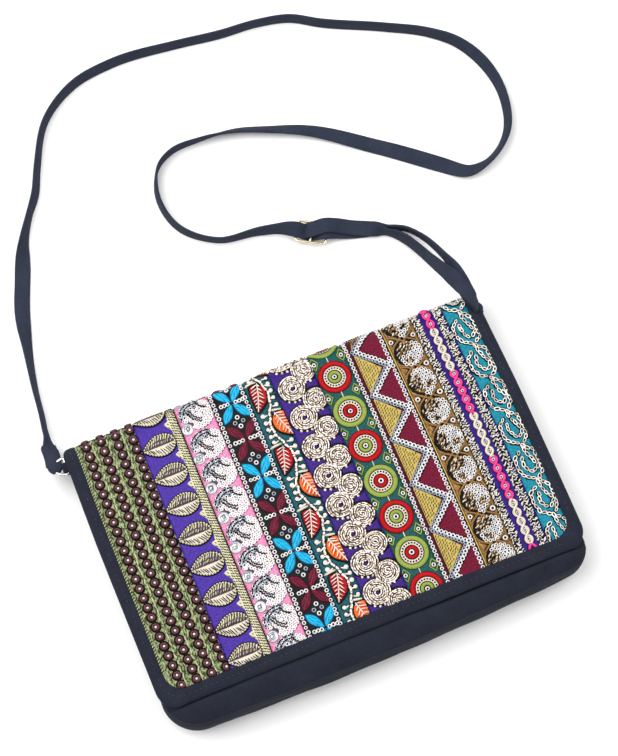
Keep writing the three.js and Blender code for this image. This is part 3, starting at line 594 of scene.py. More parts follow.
class FlapFace:
    """The flap's outer face in millimetres: from its free edge up the front, round the fold and to the back seam."""

    # How far the front crowns between its ends, and how far it drops at the sides from a height up
    crown = 2.5
    side_drop, drop_from = 3.0, 12.8
    # How far the fold reaches out at its left end, and draws in at both
    left_reach, corner_pull = 0.9, 0.3
    # Power of the fold's section: 2 is round and more is squarer
    squareness = 2.6
    # Radii of the lower corners of the trims and of the flap
    inner_corner, outer_corner = 11.0, 13.0
    # Share of the fold that the trims cover
    trim_share = 0.72
    # How far the flap lies askew at its free edge, and how much more after a run
    askew, askew_more, askew_run = -0.3, -1.4, 150
    # Share by which the flap narrows, from a place on and over a run
    narrowing, narrow_from, narrow_run = 0.008, 110, 55

    def __init__(self, sizes):
        self.half, self.free, self.fold, self.reach, self.back = sizes.mm(
            "flap_half_width", "flap_free_edge", "fold_start", "fold_reach", "back_seam")
        self.wall, self.high, self.low, self.binding, self.offset = sizes.mm(
            "flap_wall", "free_edge_height", "fold_height", "binding_width", "bag_offset")
        front = np.linspace(self.free, self.fold, 120)[:-1]
        angle = np.pi * (0.5 - np.linspace(0, 1, 96))
        power = 2 / self.squareness
        rise = np.sign(np.sin(angle)) * np.abs(np.sin(angle)) ** power
        fold = self.fold + self.reach * np.abs(np.cos(angle)) ** power
        end = np.linspace(self.fold, self.back, 8)[1:]
        self.y = np.concatenate([front, fold, end])
        self.z = np.concatenate([self.front_height(front), self.low / 2 * (1 + rise), np.zeros(len(end))])
        self.s = run_along(np.stack([self.y, self.z], -1))
        slope = unit(np.stack([np.gradient(self.y, self.s), np.gradient(self.z, self.s)], -1))
        self.normal_y, self.normal_z = -slope[:, 1], slope[:, 0]
        self.fold_from, self.fold_to = self.s[len(front)], self.s[len(front) + len(fold) - 1]
        self.end = self.s[-1]
        self.trim_to = self.fold_from + self.trim_share * (self.fold_to - self.fold_from)

    def front_height(self, y):
        """Height of the face along the front."""
        share = np.clip((y - self.free) / (self.fold - self.free), 0, 1)
        return self.high + (self.low - self.high) * share + self.crown * np.sin(np.pi * share)

    def swayed(self, x, s):
        """The closed flap lies a little askew over the pouch and is drawn in towards the fold."""
        askew = self.askew + self.askew_more * np.minimum(s / self.askew_run, 1)
        return x * (1 - self.narrowing * np.clip((s - self.narrow_from) / self.narrow_run, 0, 1)) + askew

    def at(self, points):
        """Where points with columns x, s and lift lie in the shared frame."""
        x, s, lift = points.T
        y, z, normal_y, normal_z = (np.interp(s, self.s, line)
                                    for line in (self.y, self.z, self.normal_y, self.normal_z))
        edge = np.minimum(np.abs(x) / self.half, 1.02)
        upper = smoothstep(z, self.drop_from, self.low)
        bulge = np.clip((y - self.fold) / self.reach, 0, 1)
        reach = self.left_reach * np.clip(-x / self.half, 0, 1) - self.corner_pull * edge ** 10
        return np.stack([self.swayed(x, s) + self.offset, y + normal_y * lift + reach * bulge,
                         z + normal_z * lift - self.side_drop * edge ** 4 * upper], -1)

    def trim_edge(self, x):
        """Lower edge of the trims at x."""
        return self.binding + corner_rise(x, TRIM_EDGES[-1], self.inner_corner)


class Trim(Layout):
    """One trim of the flap: its strip of cloth, which dips at the seams, and the work that is sewn on it."""

    # How far the cloth dips at its seams, how soon it rises from them, and the lift of its turned edges
    seam_dip, seam_reach, edge_lift = 0.55, 0.8, 0.1
    # Highest lift of what is tucked under a neighbour
    tuck_lift = 0.4
    # How far sequins stray, and the share by which their sizes differ
    sequin_stray, sequin_spread = 0.1, 0.05

    def __init__(self, context, index, cloth):
        super().__init__()
        self.flap = FlapFace(context.scene.clutch_sizes)
        self.end = self.flap.trim_to
        self.name, self.left, self.right = TRIM_NAMES[index], TRIM_EDGES[index], TRIM_EDGES[index + 1]
        x = np.linspace(self.left + 0.05, self.right - 0.05, int((self.right - self.left) / 1.5))
        x = np.concatenate([[self.left], x, [self.right]])
        t = np.concatenate([[0, 0], np.linspace(0.004, 1, 130), [1]])
        low = self.flap.trim_edge(x)[:, None]
        s = low + (self.end - low) * t
        side = np.minimum(x - self.left, self.right - x)[:, None]
        lift = -self.seam_dip * np.exp(-np.maximum(side, 0) / self.seam_reach) + 0 * s
        lift[[0, -1]] = self.edge_lift - GROUND
        lift[:, [0, -1]] = self.edge_lift - GROUND
        points = np.stack([np.broadcast_to(x[:, None], s.shape), s, lift], -1).reshape(-1, 3)
        self.add((points, grid_faces(len(x), len(t)), points[:, :2]), cloth)

    def add(self, *shape, lift=0.0, **laid):
        """Adds a shape as Layout does, with its lift above the trim's cloth."""
        super().add(*shape, lift=GROUND + lift, **laid)

    def sequins(self, spots, radius, finish_name="silver sequin", lift=0.0, hole="black floss", share=0.5):
        """Adds ring sequins, each sewn down through its hole, which takes a share of its radius."""
        ring = turned([(share - 0.04, 0.1), (share + 0.07, 0.34), (0.84, 0.4), (1.0, 0.14), (1.0, 0)], 10)
        spots = np.asarray(spots) + self.sequin_stray * self.hand.standard_normal((len(spots), 2))
        radius = radius * (1 + self.sequin_spread * self.hand.standard_normal(len(spots)))
        self.add(ring, finish_name, spots, scale=radius, lift=lift)
        # The disc in each hole is the thread that sews the sequin down; in a dark finish it also paints the shade in
        # the hole.
        self.add(turned([(0.02, 0.15), (share, 0.15)], 8), hole, spots, scale=radius, lift=lift)

    def strip(self, left, right, rise, finish_name):
        """Adds a raised narrow strip along the trim."""
        x = np.array([left, left + 0.15, left + 0.6, right - 0.6, right - 0.15, right])
        lift = np.array([-0.4, 0.6 * rise, rise, rise, 0.6 * rise, -0.4])
        s = np.linspace(self.flap.binding - 1, self.end, 120)
        plan = flat_grid(x, s)
        self.add((lifted(plan, np.repeat(lift, len(s))), grid_faces(len(x), len(s)), plan), finish_name)

    def tucked(self, points):
        """Puts points on the flap, with all that passes the trim's own edges turned down under its neighbours."""
        x, s, lift = points.T
        low = self.flap.trim_edge(np.clip(x, TRIM_EDGES[0], TRIM_EDGES[-1]))
        outside = (x < self.left) | (x > self.right) | (s < low) | (s > self.end)
        lift = np.where(outside, np.minimum(lift, self.tuck_lift), lift)
        return self.flap.at(np.stack([np.clip(x, self.left, self.right), np.clip(s, low - 1, self.end), lift], -1))

    def sewn(self, slot):
        """Makes the trim a piece that stands for its solid."""
        self.piece(self.name.replace("trim_", "") + "_trim", self.tucked, slot, [self.name])
        return {"FINISHED"}


# Pouch, flap and binding


def soft_waves(x, y, size):
    """Slow unevenness of hand-filled cloth, up to about size."""
    return size * (0.5 * np.sin(x / 17 + 1.3) * np.sin(y / 13 + 0.4) + 0.3 * np.sin(x / 7.3 + y / 11)
                   + 0.2 * np.sin(x / 31 - y / 5.7 + 2))


def stations_across(half_width, radius, inner_steps, corner_steps=10):
    """Stations across a panel, closer together round its lower corners."""
    corner = half_width - radius + radius * np.sin(np.linspace(0, np.pi / 2, corner_steps + 1))
    inner = np.linspace(-(half_width - radius), half_width - radius, inner_steps + 1)[1:-1]
    return np.concatenate([-corner[::-1], inner, corner])


class PouchForm:
    """The pouch's outline and the height of its front panel, in millimetres."""

    # How far the lower edge bows down in its middle, and how far its right end lies above the level
    bow, skew = 3.9, 2.0
    # The lower corners' radii, as shares of the corner size: the left one is rounder than the right one
    left_round, right_round = 1.2, 0.8
    # How far the front panel rolls down to its seam, and over what distance
    roll_drop, roll_reach = 6.0, 14.0
    wall = 2.0
    # The gusset bulges out at the bottom and pleats inwards at the mouth
    bottom_bulge, mouth_pleat = 2.4, -3.5
    # Height of the filled panel's slow waves and of the gusset's puckers
    wave_height, pucker_height = 1.1, 0.9
    # The front panel lies this far under the flap, and swells up beside the flap's free edge
    clearance = 0.8
    swell = 4.0
    swell_from, swell_to = 78, 81.2
    # Share of the width by which the lower corners are filled out, and how far down that begins and is full
    corner_fill, fill_from, fill_to = 0.03, 10, 75
    # The slow waves are where the panel shows below the flap: full up to one place and gone from the other on
    waves_to, still_from = -72, -64

    def __init__(self, sizes):
        self.half, self.bottom, self.mouth, self.corner = sizes.mm(
            "pouch_half_width", "pouch_bottom", "pouch_mouth", "pouch_corner")
        self.flap = FlapFace(sizes)

    def bowed(self, x):
        """Lower edge at x without its corners."""
        return self.bottom - self.bow * (1 - (x / self.half) ** 2) + self.skew * x / self.half

    def corner_at(self, x):
        """Radius of the lower corner on this side."""
        return self.corner * np.where(x < 0, self.left_round, self.right_round)

    def edge(self, x):
        """Lower edge at x with its corners."""
        return self.bowed(x) + corner_rise(x, self.half, self.corner_at(x))

    def edge_distance(self, x, y):
        """Distance from a point of a panel in to its sewn outline."""
        to_side, to_bottom = self.half - np.abs(x), y - self.bowed(x)
        radius = self.corner_at(x)
        corner = radius - np.hypot(radius - to_side, radius - to_bottom)
        in_corner = (to_side < radius) & (to_bottom < radius)
        return np.where(in_corner, np.maximum(corner, 0), np.minimum(to_side, to_bottom))

    def front_height(self, x, y):
        """Height of the front panel: under the flap, swollen beside its free edge and rolled down to the seam."""
        inward = np.minimum(self.edge_distance(x, y) / self.roll_reach, 1)
        side = self.flap.side_drop * (np.abs(x) / self.flap.half) ** 4
        return (self.flap.front_height(y) - self.flap.wall - self.clearance - side
                + self.swell * smoothstep(-y, self.swell_from, self.swell_to) - self.roll_drop * (1 - inward) ** 2)

    def filled(self, points):
        """Where the pouch's points lie in the shared frame: its lower corners are filled out to the flap's edge."""
        x, y, z = points.T
        return np.stack([x * (1 + self.corner_fill * smoothstep(-y, self.fill_from, self.fill_to)) + self.flap.offset,
                         y, z], -1)


class CLUTCH_OT_pouch(bpy.types.Operator):
    """Sews the soft pouch: back panel, front panel and the gusset between them"""

    bl_idname = "clutch.pouch"
    bl_label = "Pouch"

    def execute(self, context):
        form = PouchForm(context.scene.clutch_sizes)
        across = stations_across(form.half, form.corner * form.left_round, 70, 16)
        edge = form.edge(across)[:, None]
        work = Layout()
        for shape in (self.front(form, across, edge), self.back(form, across, edge), self.gusset(form, across)):
            work.add(shape, "polyester twill")
        pouch = work.piece("pouch", form.filled, "bag_cloth", ["back_panel", "front_panel", "gusset"])
        return {"FINISHED"}

    @staticmethod
    def front(form, across, edge):
        """The front panel, which rolls down to its seam."""
        roll = np.broadcast_to(np.linspace(0, form.roll_reach, 15), (len(across), 15))
        rest = np.linspace(0, 1, 40)[1:] * (form.mouth - edge - form.roll_reach) + form.roll_reach
        y = edge + np.concatenate([roll, rest], 1)
        x = np.broadcast_to(across[:, None], y.shape)
        inward = smoothstep(form.edge_distance(x, y), 0, 6)
        wave = soft_waves(x, y, form.wave_height) * inward * (1 - smoothstep(y, form.waves_to, form.still_from))
        top = np.stack([x, y, form.front_height(x, y) + wave], -1)
        return sheet(top, top - np.array([0, 0, form.wall]))

    @staticmethod
    def back(form, across, edge):
        """The back panel, which lies on the surface."""
        y = edge + (form.flap.back - 0.3 - edge) * np.linspace(0, 1, 50)
        x = np.broadcast_to(across[:, None], y.shape)
        low = 0.5 * (1 - smoothstep(form.edge_distance(x, y), 0, 3))
        lower = np.stack([x, y, low], -1)[:, ::-1]
        return sheet(lower, lower + np.array([0, 0, form.flap.wall - 0.5]))

    @staticmethod
    def gusset(form, across):
        """The strip round three sides: it bulges at the bottom and pleats inwards at the mouth."""
        inset, seam, depth = form.half - 0.6, 0.6, 28
        left, right = (np.linspace(form.mouth, form.edge(x) + seam, 40)[:-1] for x in across[[0, -1]])
        path = np.concatenate([column(-inset, left),
                               np.stack([across * inset / form.half, form.edge(across) + seam], -1),
                               column(inset, right[::-1])])
        along = unit(np.gradient(path, axis=0))
        outward = np.stack([along[:, 1], -along[:, 0]], -1)
        share = np.linspace(0, 1, 18)
        to_mouth = np.clip((path[:, 1] - form.bottom) / (form.mouth - form.bottom), 0, 1)
        swell = form.bottom_bulge + (form.mouth_pleat - form.bottom_bulge) * to_mouth
        run = run_along(path)
        height = form.flap.wall + 0.2 + share * (
            form.front_height(path[:, 0], path[:, 1]) - form.wall * 0.4 - form.flap.wall)[:, None]
        pucker = soft_waves(run[:, None] + 0 * share, 3 * height, form.pucker_height)
        sides = []
        for inward in (0, form.wall):
            out = (swell[:, None] + pucker) * np.sin(np.pi * share) - inward
            sides.append(np.concatenate([path[:, None] + outward[:, None] * out[..., None], height[..., None]], -1))
        points, faces, _ = sheet(*sides)
        return points, faces, np.tile(flat_grid(run, share * depth), (2, 1))


class CLUTCH_OT_flap(bpy.types.Operator):
    """Makes the padded flap and the plain binding that frames its trims"""

    bl_idname = "clutch.flap"
    bl_label = "Flap and binding"

    # The binding's section from its inner edge to its outer edge and round it. Columns: share of the width, lift,
    # and how far it stands out past the flap's edge.
    section = np.array([(0, 0.2, 0), (0, 1.1, 0), (0.04, 1.5, 0), (0.15, 1.75, 0), (0.3, 1.9, 0), (0.4, 1.9, 0),
                        (0.47, 1.7, 0), (0.54, 1.85, 0), (0.74, 1.7, 0), (0.88, 1.3, 0), (0.96, 0.8, 0),
                        (1, 0.2, 0.3), (1, -0.8, 0.7), (1, -2.0, 0.5), (1, -2.9, 0), (0.9, -3.0, 0)])
    # Where the binding is sewn down: share of its width and lift; and the stitches' pitch
    hem_share, hem_lift, hem_pitch = 0.47, 1.7, 3.4
    # How far the binding laps over the trims' edges
    lap = 0.4
    # Share by which the stitches pucker it, and how closely
    pucker_share, pucker_run = 0.08, 2.1

    def execute(self, context):
        flap = FlapFace(context.scene.clutch_sizes)
        across = stations_across(flap.half, flap.outer_corner, 70)
        rise = corner_rise(across, flap.half, flap.outer_corner)[:, None]
        t = np.concatenate([np.linspace(0, flap.fold_from, 70)[:-1], np.linspace(flap.fold_from, flap.fold_to, 50),
                            np.linspace(flap.fold_to, flap.end, 6)[1:]]) / flap.end
        s = rise + (flap.end - rise) * t
        x = np.broadcast_to(across[:, None], s.shape)
        work = Layout()
        faces = (np.stack([x, s, np.full(s.shape, lift)], -1) for lift in (0, -flap.wall))
        work.add(sheet(*faces), "polyester twill")
        padded = work.piece("flap_pad", flap.at, "bag_cloth", ["flap"])

        inner = self.rail(flap, TRIM_EDGES[-1] - self.lap, flap.binding + self.lap, flap.inner_corner)
        outer = self.rail(flap, flap.half, 0, flap.outer_corner)
        share, lift, out = self.section.T
        plan = (inner[:, None] + (outer - inner)[:, None] * share[:, None]
                + unit(outer - inner)[:, None] * out[:, None])
        run = run_along(outer)
        pucker = 1 + self.pucker_share * np.sin(run / self.pucker_run)[:, None] * (lift > 1)
        points = np.concatenate([plan, (lift * pucker)[..., None]], -1).reshape(-1, 3)
        girth = run_along(np.stack([share * flap.binding, lift], -1))
        binding = Layout()
        binding.add((points, grid_faces(len(inner), len(share)), flat_grid(run, girth)), "polyester twill")
        spots, heading = spaced(inner + (outer - inner) * self.hem_share, self.hem_pitch)
        binding.add(stitch(1.6, 0.24), "hem thread", spots, heading, lift=self.hem_lift)
        binding.piece("flap_binding_cloth", flap.at, "binding_cloth", ["flap_binding"])
        return {"FINISHED"}

    @staticmethod
    def rail(flap, half, bottom, radius):
        """An edge of the binding, from the left end of the fold round the bottom to the right end."""
        top = np.linspace(flap.trim_to, bottom + radius, 110)[:-1]
        level = np.linspace(-(half - radius), half - radius, 120)[1:-1]
        corner = (-(half - radius), bottom + radius) - polar(np.linspace(0, np.pi / 2, 13), radius)
        left = np.concatenate([column(-half, top), corner])
        return np.concatenate([left, np.stack([level, np.full(len(level), bottom)], -1), left[::-1] * (-1, 1)])


# Trims


class CLUTCH_OT_bead_brocade(bpy.types.Operator):
    """Lays the sage brocade with its four columns of ring beads"""

    bl_idname = "clutch.bead_brocade"
    bl_label = "Beaded brocade"

    def execute(self, context):
        work = Trim(context, 0, "sage brocade")
        rows = repeats(11.5, 6.29, work.end - 2)
        lean = 2 * np.clip((90 - rows) / 80, 0, 1) ** 2 + 0.8 * np.clip((rows - 90) / 80, 0, 1)
        beads = np.concatenate([np.stack([x + lean, rows], -1) for x in (-123.4, -113.7, -104.2, -94.7)])
        # A black pad wider than each bead, and a black stitch in the gap to the next one, paint the shade round and
        # between the beads.
        work.add(turned([(0.1, 0.3), (3.1, 0.35), (3.5, -0.1)], 16), "black floss", beads)
        work.add(stitch(3.2, 0.9), "black floss", beads + (0, 3.15), 90, lift=0.1)
        work.add(round_bead(1.75, 0.82, 18), "maroon glass", beads, lift=0.9)
        # A silver sequin disc in each bead's hole paints the highlight there.
        work.add(turned([(0.02, 0.5), (0.55, 0.45), (0.8, 0.2)], 10), "silver sequin", beads, lift=0.7)
        # Dark flecks beside each bead. Columns: place about the bead, and heading
        for *place, heading in ((-3.9, 1.3, 70), (3.8, -1.2, 112), (-3.7, -2.0, 104), (3.7, 2.2, 64),
                                (-4.3, -0.4, 40), (4.4, 0.6, 132)):
            work.add(stitch(2.3, 0.36), "olive floss", beads + place, heading, lift=0.15, uneven=0.3)
        for x in (-118.5, -108.9, -99.4):
            work.add(stitch(4.4, 0.7), "pale sage floss", column(x, repeats(12, 4.1, work.end)), 84, uneven=0.25)
        selvedge = repeats(22, 1.9, work.end - 1)
        work.add(stitch(1.9, 0.4), "pale sage floss", column(-128.7, selvedge), 40)
        work.add(stitch(1.7, 0.26), "olive floss", column(-128.5, selvedge + 0.95), 40)
        return work.sewn("olive_brocade")


class CLUTCH_OT_leaf_violet(bpy.types.Operator):
    """Lays the violet trim with its row of pointed leaves and its pale woven edge"""

    bl_idname = "clutch.leaf_violet"
    bl_label = "Leaf trim"

    def execute(self, context):
        work = Trim(context, 1, "violet satin")
        spots = column(-80.6, repeats(13.3, 19.7, work.end + 5, 0.03))
        leaf = leaf_outline(20.6, 13.4, 0.58, 16)
        lower, upper = leaf[:16], leaf[16:]
        rib = np.stack([np.linspace(10.3, -10.3, 12), np.zeros(12)], -1)
        work.add(raised(np.concatenate([lower, rib[1:-1]]), 1.3, 70), "cream floss", spots)
        work.add(raised(np.concatenate([rib[::-1], upper]), 1.2, -65), "mauve floss", spots)
        for x in np.linspace(-7.2, 8.6, 11):
            half = float(np.interp(x, lower[:, 0], -lower[:, 1]))
            work.add(stitch(half * 0.62, 0.4, 0.35), "straw floss", spots + (x + 0.3, half * 0.68), 62, lift=0.8,
                     uneven=0.15)
            work.add(stitch(half * 0.34, 0.26, 0.3), "straw floss", spots + (x - 0.8, half * 0.24), 58, lift=1.0,
                     uneven=0.2)
            work.add(stitch(half * 0.8, 0.34, 0.3), "black floss", spots + (x, -half * 0.55), -62, lift=0.95,
                     uneven=0.15)
        rim = closed(leaf)
        # A wide black cord just outside each leaf paints the shade round its padded edge, under the pale dashes.
        work.add(swept(lifted(rim * 1.03, 0), 0.85), "black floss", spots)
        dashes, heading = spaced(rim, 1.8)
        work.add(stitch(1.3, 0.56, 0.25), "straw floss", around(spots, dashes * 0.98), np.tile(heading, len(spots)),
                 lift=0.75)
        work.add(swept(lifted(rib[2:], 1.15), 0.26), "mauve floss", spots)

        work.strip(-70.0, -65.0, 0.7, "straw floss")
        bump = curve_round([(0.8, -5.4), (0.8, 5.4), (-0.4, 4.4), (-1.3, 2.2), (-3.4, 1.2), (-1.4, -2.4)], 3)
        bumps = repeats(23.4, 19.75, work.end, 0.03)
        work.add(raised(bump, 0.9), "straw floss", column(-69.7, bumps))
        dash = repeats(8, 1.75, work.end)
        for k, x in enumerate((-69.2, -68.0, -66.8, -65.7)):
            work.add(stitch(1.45, 0.34), "black floss", column(x, dash - 0.55 * k), -55, lift=0.65, uneven=0.1)
        work.add(stitch(1.3, 0.24), "black floss", around(column(-71.0, bumps), [(0, -2), (0, 0.2), (0.2, 2.4)]), -42,
                 lift=0.85)
        work.add(swept(lengthwise(-64.6, work.end), 0.6), "black floss")
        return work.sewn("violet_satin")


class CLUTCH_OT_disc_pink(bpy.types.Operator):
    """Lays the pink trim with its sequin discs, each with a small disc beside it"""

    bl_idname = "clutch.disc_pink"
    bl_label = "Disc trim"

    # Half the disc's width and half its length
    disc = (11.1, 9.7)

    def execute(self, context):
        work = Trim(context, 2, "pink satin")
        spots = column(-52.4, repeats(6, 18.95, work.end + 4, 0.085))
        angle = all_round(48)
        outline = self.inward(angle)[:, None] * polar(angle, *self.disc)
        work.add(raised(outline * 1.02, 0.35, 30, 8), "mauve floss", spots)
        rings = []
        for share, count in ((0.9, 27), (0.7, 20), (0.49, 14), (0.27, 8), (0.06, 2)):
            turn = all_round(count) + share * 4
            size = share * self.inward(turn) if share > 0.8 else np.full(count, share)
            rings.append(size[:, None] * polar(turn, *self.disc))
        rings = np.concatenate(rings)
        rings = rings[np.hypot(rings[:, 0] + 8.6, rings[:, 1] + 6.9) > 4.9]
        # The upper left of each disc is darker: its sequins are smoke grey with dark holes
        shaded = (rings @ np.array([-0.6, 0.8]) > 3.4) & (np.hypot(*rings.T) > 4.4)
        light, dark = rings[~shaded], rings[shaded]
        work.sequins(around(spots, light[::2]), 1.3, lift=0.35, hole="mauve floss", share=0.3)
        work.sequins(around(spots, light[1::2]), 1.3, lift=0.35, hole="rose floss", share=0.3)
        work.sequins(around(spots, dark[::2]), 1.25, "smoke sequin", lift=0.4)
        work.sequins(around(spots, dark[1::2]), 1.25, lift=0.4)
        # Wavy dark rows cross each disc from its upper left to its lower right
        u = np.linspace(-5.6, 5.0, 30)
        for offset, reach in ((-3.4, 1.0), (-1.9, 0.8), (5.4, 0.7)):
            v = offset + 0.045 * u * u + 0.42 * np.sin(u * 2.7)
            wave = np.stack([reach * u + v, v - reach * u], -1) * math.sqrt(0.5)
            work.add(swept(lifted(wave, 0.95), 0.4), "black floss", spots)
        turn = np.radians(np.linspace(75, 165, 22))
        for radius in (8.9, 6.9):
            arc = lifted(polar(turn, 1.12 * radius, radius), 0.8 + 0.25 * np.sin(turn * 19))
            work.add(swept(arc, 0.36), "black floss", spots)
        small = spots + (-8.4, -7.2)
        work.add(turned([(0.1, 0.5), (3.2, 0.45), (3.6, -0.1)], 20), "silver sequin", small)
        work.add(swept(oval_path(3.5, 3.5, 0.1, 20), 0.36), "smoke floss", small)
        square = np.array([(1, 0.2), (0, 1), (-1, 0), (0, -0.8), (1, 0.2)])
        for radius, face in ((2.4, "smoke floss"), (1.3, "mauve floss")):
            work.add(swept(lifted(radius * square, 0.55), 0.3), face, small, 40, uneven=0.3)
        work.add(stitch(4.6, 0.24), "smoke floss", small, 70, lift=0.5, uneven=0.3)
        return work.sewn("pink_satin")

    @staticmethod
    def inward(angle):
        """Share of the disc's radius at an angle: it gives way to the small disc at its lower left."""
        gap = np.angle(np.exp(1j * (angle - math.radians(218))))
        return 1 - 0.3 * np.exp(-(gap / 0.42) ** 2)


class CLUTCH_OT_flower_black(bpy.types.Operator):
    """Lays the black trim with its blue and wine red flowers and its sequins"""

    bl_idname = "clutch.flower_black"
    bl_label = "Flower trim"

    def execute(self, context):
        work = Trim(context, 3, "black satin")
        centre = column(-29.6, repeats(11, 24.9, work.end + 10, 0.03))
        # A flower's petals reach to the corners of an oblong
        reach, lean = math.hypot(8.7, 11.6), math.degrees(math.atan2(11.6, 8.7))
        outline = leaf_outline(reach * 0.93, 5.4, 0.42, 14, False)
        petal, edge = raised(outline, 1.3, 8), swept(lifted(closed(outline), 0.1), 0.34)
        for own, face, rim in ((centre[::2], "sky floss", "deep sky floss"),
                               (centre[1::2], "wine floss", "deep wine floss")):
            for angle in (lean, 180 - lean, 180 + lean, -lean):
                spots, turn = own + 0.52 * reach * towards(angle), angle + 180
                work.add(petal, face, spots, turn)
                work.add(edge, rim, spots, turn)
                # Dark streaks on the petal. Columns: place along and across it, and length
                for along, across, length in ((-1.6, 1.1, 5), (0.6, -0.9, 6), (1.8, 0.5, 4), (-2.4, -0.6, 4)):
                    streak = along * towards(turn) + across * towards(turn + 90)
                    work.add(stitch(length, 0.2, 0.2), rim, spots + streak, turn + 6 * across, lift=1.05)
        row = [(x, 0) for x in (-7.2, -4.9, -2.5, 2.6, 5.0, 7.4)]
        work.sequins(around(centre, row), 1.35, lift=0.25)
        work.sequins(around(centre, [(0, 9.4), (0, 15.4)]), 1.5)
        work.sequins(around(centre, [(-2.6, 12.4), (2.6, 12.4)]), 1.4, "smoke sequin")
        edges = repeats(9, 3.1, work.end)
        work.sequins(column(-40.5, edges), 1.35, lift=0.1)
        work.sequins(column(-20.6, edges + 0.9), 1.35, lift=0.1)
        return work.sewn("black_satin")


class CLUTCH_OT_vine_teal(bpy.types.Operator):
    """Lays the teal trim with its red and orange leaves on a cream vine"""

    bl_idname = "clutch.vine_teal"
    bl_label = "Vine trim"

    def execute(self, context):
        work = Trim(context, 4, "teal satin")
        pitch = 42.2
        # Outline of a red leaf about its middle; its tip is at the lower left. Orange leaves are its mirror image.
        leaf = curve_round([(-4.7, -9.0), (-1.0, -7.3), (2.7, -4.2), (4.7, 0.4), (4.5, 4.4), (2.6, 7.6), (-0.6, 9.0),
                            (-4.0, 8.6), (-5.1, 5.0), (-5.3, 0.0), (-5.2, -5.0)], 3)
        rib = smooth_curve([(-4.5, -8.6), (-2.6, -3.6), (-0.6, 2.0), (1.2, 8.4)], 4)
        # Columns: the leaf's finish, the darker finish that paints the shadows under its veins, x, first place, and
        # which way the leaf is mirrored.
        for face, dark, x, first, hand in (("red floss", "deep wine floss", -12.0, 30.4, 1),
                                           ("orange floss", "red floss", -6.4, 9.6, -1)):
            spots = column(x, repeats(first, pitch, work.end + 8, 0.12))
            flip = np.array([hand, 1])
            work.add(raised((leaf * flip)[::hand], 1.1, 40 * hand), face, spots)
            # A black cord round each leaf paints the shade at its padded edge.
            work.add(swept(lifted(closed(leaf) * flip, 0.1), 0.75), "black floss", spots)
            work.add(swept(lifted(rib * flip, 1.2), 0.42), "cream floss", spots)
            # Veins. Columns: where they leave the rib, and the lengths to its left and to its right. Each pale vein
            # has a copy in the darker finish 0.9 mm below it, a painted shadow.
            for s, left, right in ((-6.2, 1.0, 2.0), (-3.9, 2.0, 3.4), (-1.5, 2.9, 4.4), (0.9, 3.7, 4.8),
                                   (3.2, 4.3, 4.6), (5.4, 4.8, 3.6), (7.2, 4.4, 1.8)):
                for length, angle in ((left, 196), (right, -52)):
                    vein = (np.interp(s, rib[:, 1], rib[:, 0]), s + 0.8) + 0.5 * length * towards(angle)
                    work.add(stitch(length, 0.38, 0.15), "shell floss", spots + vein * flip, hand * angle, lift=0.85,
                             uneven=0.12)
                    # The darker copy 0.9 mm below each vein: painted shadow.
                    work.add(stitch(length, 0.3, 0.15), dark, spots + (vein - (0, 0.9)) * flip, hand * angle,
                             lift=0.85, uneven=0.12)
        s = np.linspace(6, work.end, 180)
        vine = np.stack([-9.6 + 3.0 * np.cos(2 * np.pi * (s - 30.4) / 42.7) + 0.3 * np.sin(s * 0.8), s], -1)
        # A wider black cord under the vine paints its shadow on both sides.
        work.add(swept(lifted(vine, 0.35 - 0.6), 1.25), "black floss")
        work.add(swept(lifted(vine, 0.35), 0.78 + 0.2 * np.sin(s * 2.3)), "cream gimp cord")
        bud = turned([(0.02, 1.15), (0.8, 1.0), (1.3, 0.5), (1.45, 0)], 10)
        for x, stem_x, first, steps in ((-15.1, -13.6, 51.6, (-9.5, -5, -0.6, 4, 8.6)),
                                        (-4.1, -5.6, 30.4, (-8.4, -3.6, 1, 5.6, 9.6))):
            places = np.concatenate([repeats(first - pitch + step, 42.5, work.end, 0.05) for step in steps])
            lean = np.sign(x - stem_x) * -18
            # A black disc under each bud paints the shade round it.
            work.add(turned([(0.02, 0.3), (1.7, 0.25), (1.9, 0)], 10), "black floss", column(x, places))
            work.add(bud, "shell floss", column(x, places), uneven=0.2)
            work.add(stitch(4.2, 0.55), "shell floss", column(stem_x, places - 0.5), lean, lift=0.1, uneven=0.2)
        for x, first, lean in ((-15.0, 40.6, 6), (-5.2, 19.4, -14)):
            work.add(stitch(8.4, 0.85, 0.3), "cream floss", column(x, repeats(first, 42.4, work.end, 0.05)), lean)
        return work.sewn("teal_satin")


